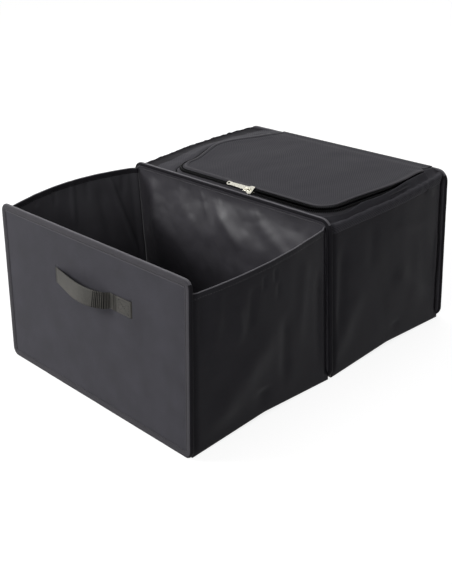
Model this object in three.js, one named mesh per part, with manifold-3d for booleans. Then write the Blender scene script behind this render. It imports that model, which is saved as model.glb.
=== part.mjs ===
// Collapsible car trunk organizer.
// Three stiffened walls stand across the car: front panel, divider and rear panel. Cloth gussets join
// their ends. The front compartment is open, and the rear one has a lid with a zip on three sides.
// Millimetres, +X across the car, +Y towards the lidded compartment, +Z up.
import * as THREE from 'three';
import Module from 'manifold-3d';
import { mergeVertices } from 'three/addons/utils/BufferGeometryUtils.js';

const wasm = await Module();
wasm.setup();

// Overall sizes
const width = 480;
const height = 280;
const frontDepth = 308; // divider's middle to the front panel's outer face
const rearDepth = 302; // divider's middle to the rear panel's outer face
const frontLean = 22; // how far the front panel's top leans towards the divider

// Cloth, card and tape
const clearance = 0.3;
const cloth = 0.8;
const card = 2.4;
const tape = 1;
const bindingDepth = 12;
const frontRadius = 14;
const wallRadius = 20;

// Gussets and hems
const gussetCloth = 1.2;
const gussetInset = 6; // gusset's middle in from the walls' ends
const hemCloth = 0.8;
const hemDepth = 9;
const straightTop = 14; // upright band at a gusset's top edge
// How far each gusset's top lies below the walls' tops, at its front, middle and back
const frontGussetDrop = { left: [13, 8, 12], right: [26, 17, 12] };
const rearGussetDrop = { left: [12, 8, 5], right: [14, 10, 6] };
const frontBow = { left: 22, right: 15 };
const rearBow = { left: 9, right: 8 };
const borderOverhang = 1; // border's reach past the gusset's outer face

// Floors
const floorRise = 8; // crease in the middle of each floor above its ends
const creaseGap = 2;

// Handles
const webbing = 1.6;
const handleHeight = 26;
const handleDrop = 85; // strap's middle below the walls' tops
const handleEnds = [-85, 109];
const handleBow = 14;
const handleFlats = [4, 36]; // stitched lengths at the two ends

// Zip
const zipRise = 3; // zip above the walls' tops
const zipSlope = THREE.MathUtils.degToRad(35);
const zipCorner = 40;
const roundPull = 0.5523; // control points that make a Bezier curve a quarter circle
const zipEnd = 42; // teeth end this far before the lid's hinge line
const tapeEnd = 34;
const toothPitch = 12;
const toothTip = 1.3; // reach past the middle of the zip
const toothDraft = 0.5;
const chainBack = 3.6;
const chainHeight = 2;
const zipTape = 0.8;
const lidTapeWidth = 7;
const patchGap = 2; // between the tapes' ends and the patches behind them
const curveEase = 0.9; // room beside the tapes where the zip curves
const partingSpan = [-2, 3]; // from the slider's middle: where the chain starts and ends parting

// Slider and pull
const sliderPlace = 50; // slider's middle, to the right of the box's middle
const sliderLength = 20;
const sliderPlate = 1.2;
const sliderRail = 0.9;
const tailEase = 0.5; // room beside the closed chain in the slider's tail
const postHalf = 1.2;
const postLength = 4.4;
const postSetback = 1.5; // post's face behind the slider's nose
const bailHalf = 1.2;
const bailThick = 1.2;
const bailLength = 11;
const pullThick = 1.5;
const pullBar = 0.8;
const pullLength = 50;
const pullHalf = 3.7;
const pullBarEnd = 1.4; // metal on either side of the window that the bail passes through
const pullNeck = 4; // length over which the pull widens behind its window
const pullTaper = 9; // from the waist to the loop's middle
const pullWaist = 0.8; // narrowest width as a share of the widest
const loopHole = [0.75, 0.5]; // hole's half length and half width as shares of the pull's half width

// Lid
const lidCloth = 1.2;
const lidCrown = 3;
const hingeLift = 2; // hinge line above the walls' tops
const thinRear = 11; // flat strip in front of the hinge line
const lidDrop = 20; // length over which the lid comes down to that strip
const liningInset = 6;

// The zip's side runs swing out and back once: place in X at both ends, and swing in the middle
const leftRun = { edge: 148, swell: 34 };
const rightRun = { edge: 219, swell: 7 };

// Sizes that follow
const stack = card + 2 * (clearance + cloth);
const grooveHalf = stack / 2 + clearance;
const bindingHalf = grooveHalf + tape;
const lean = Math.atan(frontLean / height);
const gussetPlane = width / 2 - gussetInset;
const handleMiddle = height - handleDrop;
const zipHeight = height + zipRise;

const colours = {
  outer: 0x47464b, lining: 0x3c3c3f, binding: 0x3a3a3d, gusset: 0x29282c, board: 0x8a7a63,
  webbing: 0x4d4c4b, tape: 0x222124, teeth: 0x2b2b2e, metal: 0xd0cfc6,
};

function finish(name, roughness, metalness = 0) {
  return new THREE.MeshStandardMaterial({ color: colours[name], roughness, metalness });
}

const finishes = {
  outer: finish('outer', 0.9), lining: finish('lining', 0.55), binding: finish('binding', 0.8),
  gusset: finish('gusset', 0.8), board: finish('board', 0.9), webbing: finish('webbing', 0.85),
  tape: finish('tape', 0.9), teeth: finish('teeth', 0.45), metal: finish('metal', 0.3, 1),
};

const organizer = new THREE.Group();

function piece(name, geometry, material, parent = organizer) {
  const mesh = new THREE.Mesh(geometry, finishes[material]);
  mesh.name = name;
  parent.add(mesh);
  return mesh;
}

// Closed shape from points and triangles, turned so that its faces point out
function closedShape(points, faces) {
  const across = new THREE.Vector3();
  let volume = 0;
  for (const [a, b, c] of faces) {
    volume += points[a].dot(across.crossVectors(points[b], points[c]));
  }
  if (volume < 0) faces.forEach((face) => face.reverse());
  const geometry = new THREE.BufferGeometry().setFromPoints(points);
  geometry.setIndex(faces.flat());
  return geometry;
}

// Skin over a row of rings with the same number of points. An open row is capped with the section.
function loft(rings, section = null) {
  const sides = rings[0].length;
  const faces = [];
  const spans = section ? rings.length - 1 : rings.length;
  for (let i = 0; i < spans; i += 1) {
    const near = i * sides;
    const far = ((i + 1) % rings.length) * sides;
    for (let j = 0; j < sides; j += 1) {
      const k = (j + 1) % sides;
      faces.push([near + j, near + k, far + k], [near + j, far + k, far + j]);
    }
  }
  if (section) {
    const turn = Math.sign(THREE.ShapeUtils.area(section));
    const last = (rings.length - 1) * sides;
    for (const [a, b, c] of THREE.ShapeUtils.triangulateShape(section, [])) {
      const own = Math.sign(THREE.ShapeUtils.area([section[a], section[b], section[c]]));
      const [p, q, r] = own === turn ? [a, b, c] : [c, b, a];
      faces.push([r, q, p], [p + last, q + last, r + last]);
    }
  }
  return closedShape(rings.flat(), faces);
}

// Sheet of cloth: place(u, v) gives its middle, and half is half its thickness as a vector
function sheet(place, us, vs, half) {
  const section = [];
  vs.forEach((v) => section.push(new THREE.Vector2(v, 1)));
  [...vs].reverse().forEach((v) => section.push(new THREE.Vector2(v, -1)));
  const rings = us.map((u) => section.map((s) => place(u, s.x).addScaledVector(half, s.y)));
  return loft(rings, section);
}

function toManifold(geometry) {
  geometry.deleteAttribute('normal');
  geometry.deleteAttribute('uv');
  const merged = mergeVertices(geometry, 1e-4);
  return new wasm.Manifold(new wasm.Mesh({
    numProp: 3,
    vertProperties: new Float32Array(merged.attributes.position.array),
    triVerts: new Uint32Array(merged.index.array),
  }));
}

function fromManifold(solid) {
  const mesh = solid.getMesh();
  const geometry = new THREE.BufferGeometry();
  geometry.setAttribute('position', new THREE.BufferAttribute(mesh.vertProperties, 3));
  geometry.setIndex(new THREE.BufferAttribute(mesh.triVerts, 1));
  return geometry;
}

function steps(count, from = 0, to = 1) {
  return Array.from({ length: count + 1 }, (_, i) => THREE.MathUtils.lerp(from, to, i / count));
}

// Smooth value through three heights: at the start, the middle and the end
function through([start, middle, end], t) {
  return start * (1 - t) * (1 - 2 * t) + 4 * middle * t * (1 - t) + end * t * (2 * t - 1);
}

// Rounded outline of a wall, set in from its edge
function wallOutline(radius, inset) {
  const side = width / 2 - inset;
  const foot = inset;
  const top = height - inset;
  const round = radius - inset;
  const outline = new THREE.Shape();
  outline.absarc(side - round, foot + round, round, -Math.PI / 2, 0);
  outline.absarc(side - round, top - round, round, 0, Math.PI / 2);
  outline.absarc(-side + round, top - round, round, Math.PI / 2, Math.PI);
  outline.absarc(-side + round, foot + round, round, Math.PI, 1.5 * Math.PI);
  return outline;
}

// Upright plate: the outline is drawn in X and Z, and middle is its place in Y
function plate(outline, thickness, middle) {
  const geometry = new THREE.ExtrudeGeometry(outline, {
    depth: thickness, bevelEnabled: false, curveSegments: 5,
  });
  geometry.rotateX(Math.PI / 2);
  geometry.translate(0, middle + thickness / 2, 0);
  return geometry;
}

// Folded tape round a wall's edge, with a groove that the card and its two cloths sit in
function bindingRing(radius) {
  const section = [
    [0, -bindingHalf], [bindingDepth, -bindingHalf], [bindingDepth, -grooveHalf], [tape, -grooveHalf],
    [tape, grooveHalf], [bindingDepth, grooveHalf], [bindingDepth, bindingHalf], [0, bindingHalf],
  ];
  const corners = [
    [width / 2 - radius, radius, -Math.PI / 2], [width / 2 - radius, height - radius, 0],
    [-width / 2 + radius, height - radius, Math.PI / 2], [-width / 2 + radius, radius, Math.PI],
  ];
  const rings = [];
  for (const [x, z, start] of corners) {
    for (const angle of steps(5, start, start + Math.PI / 2)) {
      rings.push(section.map(([inward, y]) => new THREE.Vector3(
        x + (radius - inward) * Math.cos(angle), y, z + (radius - inward) * Math.sin(angle),
      )));
    }
  }
  return loft(rings);
}

// Slits that the handle's ends pass through
function cutSlits(geometry, level) {
  const slit = new THREE.BoxGeometry(
    webbing + 2 * clearance, 2 * stack, handleHeight + 2 * clearance,
  );
  const slits = handleEnds.map((x) => toManifold(slit.clone().translate(x, 0, level)));
  return fromManifold(slits.reduce((solid, cut) => solid.subtract(cut), toManifold(geometry)));
}

// Webbing grab handle: tucked through the slits, stitched flat at both ends and bowed between
function handle(outward, level) {
  const [left, right] = handleEnds;
  const face = stack / 2;
  const flat = face + clearance + webbing / 2;
  const bowStart = left + handleFlats[0];
  const bowEnd = right - handleFlats[1];
  const line = [[left, -card / 2], [left, flat]];
  for (const t of steps(12)) {
    const rise = handleBow * Math.sin(Math.PI * t) ** 2;
    line.push([THREE.MathUtils.lerp(bowStart, bowEnd, t), flat + rise]);
  }
  line.push([right, flat], [right, -card / 2]);
  const points = line.map(([x, out]) => new THREE.Vector2(x, out));
  const sides = points.map((point, i) => {
    const before = point.clone().sub(points[Math.max(i - 1, 0)]).normalize();
    const after = points[Math.min(i + 1, points.length - 1)].clone().sub(point).normalize();
    const along = before.clone().add(after).normalize();
    const bend = Math.max(along.dot(before), along.dot(after));
    return new THREE.Vector2(-along.y, along.x).multiplyScalar(webbing / 2 / bend);
  });
  const rings = points.map((point, i) => {
    const corner = (side, z) => {
      const place = point.clone().addScaledVector(sides[i], side);
      return new THREE.Vector3(place.x, outward * place.y, level + z);
    };
    const half = handleHeight / 2;
    return [corner(-1, -half), corner(1, -half), corner(1, half), corner(-1, half)];
  });
  const section = [[-1, -1], [1, -1], [1, 1], [-1, 1]].map(([x, y]) => new THREE.Vector2(x, y));
  return loft(rings, section);
}

// A wall: card between two cloths, bound all round, with a handle where it is an end panel
function wall({ name, middle, outward, radius, skins, tilt = 0, board, handleName = null }) {
  const group = new THREE.Group();
  group.position.set(0, middle, bindingHalf * Math.sin(tilt));
  group.rotation.x = -tilt;
  organizer.add(group);
  const level = handleMiddle / Math.cos(tilt);
  const inset = tape + clearance;
  const clothPlace = card / 2 + clearance + cloth / 2;
  const layer = (thickness, place) => plate(wallOutline(radius, inset), thickness, place);
  const pierced = (geometry) => (handleName ? cutSlits(geometry, level) : geometry);
  piece(board, pierced(layer(card, 0)), 'board', group);
  piece(skins[0], pierced(layer(cloth, outward * clothPlace)), 'outer', group);
  piece(skins[1], layer(cloth, -outward * clothPlace), 'lining', group);
  piece(`${name}_binding`, bindingRing(radius), 'binding', group);
  if (handleName) piece(handleName, handle(outward, level), 'webbing', group);
}

const frontMiddle = -frontDepth + bindingHalf;
const rearMiddle = rearDepth - bindingHalf;

wall({
  name: 'front_panel', middle: frontMiddle, outward: -1, radius: frontRadius, tilt: lean,
  board: 'front_panel_board', skins: ['front_panel_cloth', 'front_panel_lining'],
  handleName: 'front_handle',
});
wall({
  name: 'divider', middle: 0, outward: 1, radius: wallRadius,
  board: 'divider_board', skins: ['divider_rear_cloth', 'divider_front_cloth'],
});
wall({
  name: 'rear_panel', middle: rearMiddle, outward: 1, radius: wallRadius,
  board: 'rear_panel_board', skins: ['rear_panel_cloth', 'rear_panel_lining'],
  handleName: 'rear_handle',
});

// Faces that the cloth between the walls meets, as their place in Y at a height
const seam = bindingHalf + clearance;
const frontInside = (z) => frontMiddle + (seam + z * Math.sin(lean)) / Math.cos(lean);
const dividerFront = () => -seam;
const dividerRear = () => seam;
const rearInside = () => rearMiddle - seam;

const compartments = {
  front: { start: frontInside, end: dividerFront, drops: frontGussetDrop, bows: frontBow, hem: true },
  rear: { start: dividerRear, end: rearInside, drops: rearGussetDrop, bows: rearBow, hem: false },
};

function gussetTop({ drops }, side, t) {
  return height - through(drops[side], t);
}

function creaseHeight(t) {
  return floorRise * (1 - Math.abs(2 * t - 1));
}

// Gusset's middle at a share of the compartment's depth and a height above the ground
function gussetPlace(room, side, t, z) {
  const { start, end, bows } = room;
  const foot = creaseHeight(t);
  const straight = gussetTop(room, side, t) - straightTop;
  const share = THREE.MathUtils.clamp((z - foot) / (straight - foot), 0, 1);
  const bow = bows[side] * Math.sin(Math.PI * t) * THREE.MathUtils.smoothstep(share, 0, 1);
  const x = (side === 'left' ? -1 : 1) * (gussetPlane + bow);
  return new THREE.Vector3(x, THREE.MathUtils.lerp(start(z), end(z), t), z);
}

function gusset(room, side) {
  const place = (t, v) => {
    const z = THREE.MathUtils.lerp(creaseHeight(t), gussetTop(room, side, t), v);
    return gussetPlace(room, side, t, z);
  };
  const top = gussetTop(room, side, 0.5);
  const rows = [...steps(7, 0, 1 - straightTop / top), 1];
  return sheet(place, steps(12), rows, new THREE.Vector3(gussetCloth / 2, 0, 0));
}

// Tape folded over a gusset's top edge
function hem(room, side) {
  const inner = gussetCloth / 2 + clearance;
  const outer = inner + hemCloth;
  const section = [
    [-outer, -hemDepth], [-outer, clearance + hemCloth], [outer, clearance + hemCloth],
    [outer, -hemDepth], [inner, -hemDepth], [inner, clearance], [-inner, clearance], [-inner, -hemDepth],
  ].map(([x, z]) => new THREE.Vector2(x, z));
  const rings = steps(12).map((t) => section.map((point) => {
    const place = gussetPlace(room, side, t, gussetTop(room, side, t) + point.y);
    place.x += point.x;
    return place;
  }));
  return loft(rings, section);
}

// Floor layers, each a sheet with the crease in its middle; from and to are shares of the depth
function floorLayer({ start, end }, low, thickness, from = 0, to = 1) {
  const side = gussetPlane - gussetCloth / 2 - clearance;
  const place = (t, x) => {
    const z = low + thickness / 2 + creaseHeight(t);
    return new THREE.Vector3(x, THREE.MathUtils.lerp(start(z), end(z), t), z);
  };
  const stations = from < 0.5 && to > 0.5 ? [from, 0.5, to] : [from, to];
  return sheet(place, stations, [-side, side], new THREE.Vector3(0, 0, thickness / 2));
}

for (const [name, room] of Object.entries(compartments)) {
  for (const side of ['left', 'right']) {
    piece(`${name}_${side}_gusset`, gusset(room, side), 'gusset');
    if (room.hem) piece(`${name}_${side}_hem`, hem(room, side), 'binding');
  }
  const halfGap = creaseGap / 2 / (room.end(0) - room.start(0));
  const boardLow = cloth + clearance;
  const liningLow = boardLow + card + clearance;
  piece(`${name}_floor_cloth`, floorLayer(room, 0, cloth), 'outer');
  piece(`${name}_floor_front_board`, floorLayer(room, boardLow, card, 0, 0.5 - halfGap), 'board');
  piece(`${name}_floor_rear_board`, floorLayer(room, boardLow, card, 0.5 + halfGap, 1), 'board');
  piece(`${name}_floor_lining`, floorLayer(room, liningLow, cloth), 'lining');
}

// The slider's section decides how far the zip lies behind the divider
const toothRoot = toothTip + clearance;
const chainTop = chainHeight / 2;
const tapeTop = -chainTop - clearance;
const tapeMiddle = tapeTop - zipTape / 2;
const parting = postHalf + clearance + toothTip;
const noseHalf = chainBack + parting + clearance + sliderRail;
const tailHalf = chainBack + tailEase + sliderRail;
const sliderTop = chainTop + clearance + sliderPlate;
const slopeCos = Math.cos(zipSlope);
const slopeSin = Math.sin(zipSlope);
const zipFront = seam + noseHalf * slopeCos + sliderTop * slopeSin;
const boxTapeWidth = (zipFront - seam - tapeTop * slopeSin) / slopeCos;
const cornerMiddle = zipFront + zipCorner;
const hingeLine = rearInside();
const hingeHeight = height + hingeLift;
const runLength = hingeLine - tapeEnd - cornerMiddle;

function runSide({ edge, swell }, y) {
  const share = THREE.MathUtils.clamp((y - cornerMiddle) / runLength, 0, 1);
  return edge + swell * Math.sin(Math.PI * share) ** 2;
}

// Route of the zip, seen from above: left run, corner, front run, corner, right run
function zipRoute() {
  const bend = zipCorner * (1 - roundPull);
  const run = (side, sign) => steps(8, cornerMiddle, hingeLine - tapeEnd).map(
    (y) => new THREE.Vector3(sign * runSide(side, y), y, 0),
  );
  const corner = (side, sign) => {
    const x = (inset) => sign * (side.edge - inset);
    return [
      new THREE.Vector3(x(0), cornerMiddle, 0), new THREE.Vector3(x(0), zipFront + bend, 0),
      new THREE.Vector3(x(bend), zipFront, 0), new THREE.Vector3(x(zipCorner), zipFront, 0),
    ];
  };
  const leftCorner = corner(leftRun, -1);
  const rightCorner = corner(rightRun, 1);
  const route = new THREE.CurvePath();
  route.add(new THREE.CatmullRomCurve3(run(leftRun, -1).reverse()));
  route.add(new THREE.CubicBezierCurve3(...leftCorner));
  route.add(new THREE.LineCurve3(leftCorner[3], rightCorner[3]));
  route.add(new THREE.CubicBezierCurve3(...rightCorner.reverse()));
  route.add(new THREE.CatmullRomCurve3(run(rightRun, 1)));
  return route;
}

const route = zipRoute();
const routeParts = route.getCurveLengths();
const routeLength = route.getLength();
const frontStart = routeParts[1];
const sliderAlong = frontStart + sliderPlace + leftRun.edge - zipCorner;

// Point on the zip: along the route, across it towards the lid, and above its sloping plane
function zipPoint(along, across, above) {
  const share = THREE.MathUtils.clamp(along / routeLength, 0, 1);
  const step = 0.5 / routeLength;
  const place = route.getPoint(share);
  const ahead = route.getPoint(Math.min(share + step, 1));
  const behind = route.getPoint(Math.max(share - step, 0));
  const way = ahead.sub(behind).normalize();
  const inward = new THREE.Vector3(-way.y, way.x, 0);
  place.addScaledVector(inward, across * slopeCos - above * slopeSin);
  place.z += zipHeight + across * slopeSin + above * slopeCos;
  return place;
}

// How far each half of the chain stands apart: closed behind the slider, open in front of its post
function parted(along) {
  const [start, end] = partingSpan;
  return parting * THREE.MathUtils.smoothstep(along, sliderAlong + start, sliderAlong + end);
}

const squareSection = [[0, 0], [1, 0], [1, 1], [0, 1]].map(([x, y]) => new THREE.Vector2(x, y));

function ribbonAlongZip(stations, side, near, far, low, high) {
  const rings = stations.map((along) => [
    zipPoint(along, side * near(along), low), zipPoint(along, side * far(along), low),
    zipPoint(along, side * far(along), high), zipPoint(along, side * near(along), high),
  ]);
  return loft(rings, squareSection);
}

// Stations that follow the curves closely and the straight front run loosely
function zipStations(from, to) {
  const marks = [...steps(26, 0, routeParts[0]), ...steps(6, routeParts[0], routeParts[1])];
  marks.push(...steps(8, sliderAlong - 4, sliderAlong + 4));
  marks.push(...steps(6, routeParts[2], routeParts[3]), ...steps(16, routeParts[3], routeLength));
  const between = marks.filter((mark) => mark > from + 1 && mark < to - 1);
  const sorted = [from, ...between, to].sort((a, b) => a - b);
  return sorted.filter((mark, i) => i === 0 || mark - sorted[i - 1] > 0.2);
}

// One half of the chain: a cord with teeth that mesh with the other half's
function teethRow(side, first) {
  const half = toothPitch / 4 - clearance / 2;
  const stations = [];
  const reach = new Map();
  const mark = (along, tooth) => {
    stations.push(along);
    reach.set(along, tooth);
  };
  const start = zipEnd - tapeEnd;
  const end = routeLength - start;
  mark(start, false);
  for (let middle = start + first; middle < end - toothPitch / 2; middle += toothPitch) {
    mark(middle - half - toothDraft, false);
    mark(middle - half + toothDraft, true);
    mark(middle + half - toothDraft, true);
    mark(middle + half + toothDraft, false);
  }
  mark(end, false);
  const near = (along) => (reach.get(along) ? -toothTip : toothRoot) + parted(along);
  const far = (along) => chainBack + parted(along);
  return ribbonAlongZip(stations, side, near, far, -chainTop, chainTop);
}

const tapeStations = zipStations(0, routeLength);
const tapeNear = (along) => toothRoot + parted(along);
const tapeLow = tapeTop - zipTape;
const rowStart = toothPitch * 0.75;

piece('box_zip_tape', ribbonAlongZip(
  tapeStations, -1, tapeNear, () => boxTapeWidth, tapeLow, tapeTop,
), 'tape');
piece('lid_zip_tape', ribbonAlongZip(
  tapeStations, 1, tapeNear, () => lidTapeWidth, tapeLow, tapeTop,
), 'tape');
piece('box_zip_teeth', teethRow(-1, rowStart), 'teeth');
piece('lid_zip_teeth', teethRow(1, rowStart + toothPitch / 2), 'teeth');

// Place in X of a line beside the zip at a given Y; inset is positive towards the lid
function besideZip(run, sign, y, inset) {
  if (y >= cornerMiddle) {
    const slope = (runSide(run, y + 1) - runSide(run, y - 1)) / 2;
    return sign * (runSide(run, y) - inset * Math.hypot(1, slope));
  }
  const radius = zipCorner - inset;
  const rise = Math.min(cornerMiddle - y, radius);
  return sign * (run.edge - zipCorner + Math.sqrt(radius * radius - rise * rise));
}

function besideStations(inset, to) {
  const radius = zipCorner - inset;
  const corner = steps(6, 0, Math.PI / 2).map((angle) => cornerMiddle - radius * Math.cos(angle));
  return [...corner, ...steps(16, cornerMiddle, to).slice(1)];
}

// Strips of cloth between the gusset tops and the zip
const borderEdge = -(boxTapeWidth * slopeCos + tapeTop * slopeSin + clearance + curveEase);
const borderInside = zipHeight - boxTapeWidth * slopeSin + tapeMiddle * slopeCos;

function border(side) {
  const room = compartments.rear;
  const sign = side === 'left' ? -1 : 1;
  const run = side === 'left' ? leftRun : rightRun;
  const stations = besideStations(borderEdge, hingeLine).map((y) => Math.max(y, seam));
  const place = (y, v) => {
    const t = (y - seam) / (hingeLine - seam);
    const top = gussetTop(room, side, t);
    const overhang = gussetCloth / 2 + borderOverhang;
    const outerX = gussetPlace(room, side, t, top).x + sign * overhang;
    const outerZ = top + clearance + cloth / 2;
    const x = THREE.MathUtils.lerp(outerX, besideZip(run, sign, y, borderEdge), v);
    const z = THREE.MathUtils.lerp(outerZ, borderInside, v * v * (3 - 2 * v));
    return new THREE.Vector3(x, y, z);
  };
  return sheet(place, stations, steps(4), new THREE.Vector3(0, 0, cloth / 2));
}

piece('left_border', border('left'), 'outer');
piece('right_border', border('right'), 'outer');

// Lid: level with the zip on three sides, and thin where it turns on its sewn rear edge
const lipInset = lidTapeWidth * slopeCos - tapeLow * slopeSin + clearance + curveEase;
const lidLevel = zipHeight + lidTapeWidth * slopeSin + tapeMiddle * slopeCos;
const lidRear = hingeHeight + clearance + lidCloth / 2;

function lidHeight(x, y, inset) {
  const left = besideZip(leftRun, -1, y, inset);
  const right = besideZip(rightRun, 1, y, inset);
  const across = THREE.MathUtils.clamp((x - left) / (right - left), 0, 1);
  const front = zipFront + inset;
  const back = hingeLine - thinRear;
  const along = THREE.MathUtils.clamp((y - front) / (back - lidDrop - front), 0, 1);
  const crown = lidCrown * Math.sin(Math.PI * across) * Math.sin(Math.PI * along);
  const drop = THREE.MathUtils.smoothstep(y, back - lidDrop, back);
  return THREE.MathUtils.lerp(lidLevel, lidRear, drop) + crown;
}

function lidSheet(inset, rear, thickness, below) {
  const back = hingeLine - thinRear;
  const marks = besideStations(inset, back - lidDrop);
  marks.push(back - lidDrop / 2, back, rear);
  const place = (y, v) => {
    const left = besideZip(leftRun, -1, y, inset);
    const right = besideZip(rightRun, 1, y, inset);
    const x = THREE.MathUtils.lerp(left, right, v);
    return new THREE.Vector3(x, y, lidHeight(x, y, lipInset) - below);
  };
  return sheet(place, marks, steps(8), new THREE.Vector3(0, 0, thickness / 2));
}

// Patches that close the corners behind the zip's ends, from the border's slope up to the lid's edge
function zipEndPatch(run, sign) {
  const rear = hingeHeight - clearance - cloth;
  const start = hingeLine - tapeEnd + patchGap;
  const place = (y, v) => {
    const outer = besideZip(run, sign, y, borderEdge + clearance);
    const inner = besideZip(run, sign, y, lipInset - 2 * clearance);
    const x = THREE.MathUtils.lerp(outer, inner, v);
    const inside = THREE.MathUtils.lerp(lidLevel, rear, THREE.MathUtils.smoothstep(y, start, hingeLine));
    return new THREE.Vector3(x, y, THREE.MathUtils.lerp(borderInside, inside, v));
  };
  return sheet(place, steps(5, start, hingeLine), steps(3), new THREE.Vector3(0, 0, cloth / 2));
}

piece('left_zip_end', zipEndPatch(leftRun, -1), 'outer');
piece('right_zip_end', zipEndPatch(rightRun, 1), 'outer');

const liningBelow = lidCloth / 2 + clearance + cloth / 2;
const liningRear = hingeLine - thinRear + clearance;
piece('lid_cloth', lidSheet(lipInset, hingeLine, lidCloth, 0), 'outer');
piece('lid_lining', lidSheet(lipInset + liningInset, liningRear, cloth, liningBelow), 'lining');

// Slider and pull, drawn on the zip's own sloping plane with X along the zip
const zipPlane = new THREE.Group();
zipPlane.position.copy(zipPoint(sliderAlong, 0, 0));
zipPlane.rotation.x = zipSlope;
organizer.add(zipPlane);

function slab(outline, low, high) {
  const geometry = new THREE.ExtrudeGeometry(outline, {
    depth: high - low, bevelEnabled: false, curveSegments: 5,
  });
  geometry.translate(0, 0, low);
  return geometry;
}

// Plan of the slider: narrow tail, wide shoulders and a rounded nose
function sliderPlan(trim) {
  const past = trim > 0 ? 1 : 0; // the channel is cut out through both ends
  const tail = -sliderLength / 2 - past;
  const nose = sliderLength / 2 + past;
  const narrow = tailHalf - trim;
  const wide = noseHalf - trim;
  const shoulder = sliderLength / 6;
  const round = trim > 0 ? 0 : noseHalf / 4;
  const plan = new THREE.Shape();
  plan.moveTo(tail, -narrow);
  plan.lineTo(-shoulder, -narrow);
  plan.bezierCurveTo(0, -narrow, 0, -wide, shoulder, -wide);
  plan.lineTo(nose - round, -wide);
  if (round) plan.quadraticCurveTo(nose, -wide, nose, -wide + round);
  plan.lineTo(nose, wide - round);
  if (round) plan.quadraticCurveTo(nose, wide, nose - round, wide);
  plan.lineTo(shoulder, wide);
  plan.bezierCurveTo(0, wide, 0, narrow, -shoulder, narrow);
  plan.lineTo(tail, narrow);
  plan.closePath();
  return plan;
}

const plateLow = chainTop + clearance;
const pivotHeight = sliderTop + clearance + Math.hypot(pullBar, pullThick / 2);
const bailInside = pivotHeight + Math.hypot(pullBar, pullThick / 2) + clearance;

function sliderShape() {
  const footTop = tapeLow - clearance;
  const footHalf = tailHalf;
  const cap = toManifold(slab(sliderPlan(0), plateLow, sliderTop));
  const skirt = toManifold(slab(sliderPlan(0), -chainTop, plateLow + sliderPlate / 2));
  const channel = toManifold(slab(sliderPlan(sliderRail), -chainTop - 1, plateLow));
  const foot = new THREE.Shape();
  foot.moveTo(-sliderLength / 2, -footHalf);
  foot.lineTo(sliderLength / 2, -footHalf);
  foot.lineTo(sliderLength / 2, footHalf);
  foot.lineTo(-sliderLength / 2, footHalf);
  foot.closePath();
  const sole = toManifold(slab(foot, footTop - sliderPlate, footTop));
  // The post between the two plates, pointed towards the tail, parts the chain
  const postNose = sliderLength / 2 - postSetback;
  const post = new THREE.Shape();
  post.moveTo(postNose - postLength, 0);
  post.lineTo(postNose - postLength / 2, -postHalf);
  post.lineTo(postNose, -postHalf);
  post.lineTo(postNose, postHalf);
  post.lineTo(postNose - postLength / 2, postHalf);
  post.closePath();
  const column = toManifold(slab(post, footTop - sliderPlate / 2, plateLow + sliderPlate / 2));
  // The bail is an arch that the pull's bar passes under
  const reach = bailLength / 2;
  const arch = new THREE.Shape();
  arch.moveTo(-reach, sliderTop - sliderPlate / 2);
  arch.lineTo(-reach, bailInside - bailThick / 2);
  arch.quadraticCurveTo(-reach, bailInside + bailThick, -reach + 2 * bailThick, bailInside + bailThick);
  arch.lineTo(reach - 2 * bailThick, bailInside + bailThick);
  arch.quadraticCurveTo(reach, bailInside + bailThick, reach, bailInside - bailThick / 2);
  arch.lineTo(reach, sliderTop - sliderPlate / 2);
  arch.lineTo(reach - bailThick, sliderTop - sliderPlate / 2);
  arch.lineTo(reach - bailThick, bailInside - bailThick / 2);
  arch.lineTo(reach - 2 * bailThick, bailInside);
  arch.lineTo(-reach + 2 * bailThick, bailInside);
  arch.lineTo(-reach + bailThick, bailInside - bailThick / 2);
  arch.lineTo(-reach + bailThick, sliderTop - sliderPlate / 2);
  arch.closePath();
  const bail = toManifold(plate(arch, 2 * bailHalf, 0));
  return fromManifold(skirt.subtract(channel).add(cap).add(sole).add(column).add(bail));
}

// Flat pull: a bar under the bail, a window round the bail's leg and a loop at the far end
function pullShape() {
  const window = bailLength / 2 + bailThick;
  const barHalf = bailHalf + clearance + pullBarEnd;
  const loop = pullLength - pullHalf;
  const outline = new THREE.Shape();
  outline.moveTo(pullBar, -barHalf);
  outline.lineTo(pullBar, barHalf);
  outline.lineTo(-window, barHalf);
  outline.lineTo(-window - pullNeck, pullHalf);
  outline.lineTo(-loop + pullTaper, pullHalf * pullWaist);
  outline.lineTo(-loop, pullHalf);
  outline.absarc(-loop, 0, pullHalf, Math.PI / 2, 1.5 * Math.PI);
  outline.lineTo(-loop + pullTaper, -pullHalf * pullWaist);
  outline.lineTo(-window - pullNeck, -pullHalf);
  outline.lineTo(-window, -barHalf);
  outline.closePath();
  const eye = new THREE.Path();
  const eyeHalf = bailHalf + clearance;
  eye.moveTo(-pullBar, -eyeHalf);
  eye.lineTo(-window, -eyeHalf);
  eye.lineTo(-window, eyeHalf);
  eye.lineTo(-pullBar, eyeHalf);
  const ring = new THREE.Path();
  ring.absellipse(-loop + 1, 0, pullHalf * loopHole[0], pullHalf * loopHole[1], 0, 2 * Math.PI);
  outline.holes.push(eye, ring);
  return slab(outline, -pullThick / 2, pullThick / 2);
}

piece('zip_slider', sliderShape(), 'metal', zipPlane);
const pull = piece('zip_pull', pullShape(), 'metal', zipPlane);
pull.position.z = pivotHeight;

// The origin is the middle of the whole box's foot
organizer.updateMatrixWorld(true);
const box = new THREE.Box3().setFromObject(organizer, true);
const middle = box.getCenter(new THREE.Vector3());
organizer.position.set(-middle.x, -middle.y, -box.min.z);
organizer.updateMatrixWorld(true);

export default organizer;
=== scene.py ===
# Car trunk organizer: an open front compartment and a zip-lidded rear one, in dark coated polyester.
# Lengths below are in millimetres, measured from the middle of the divider's foot: x to the right,
# y to the back, z up. at() turns them into the metres of the model.

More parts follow.
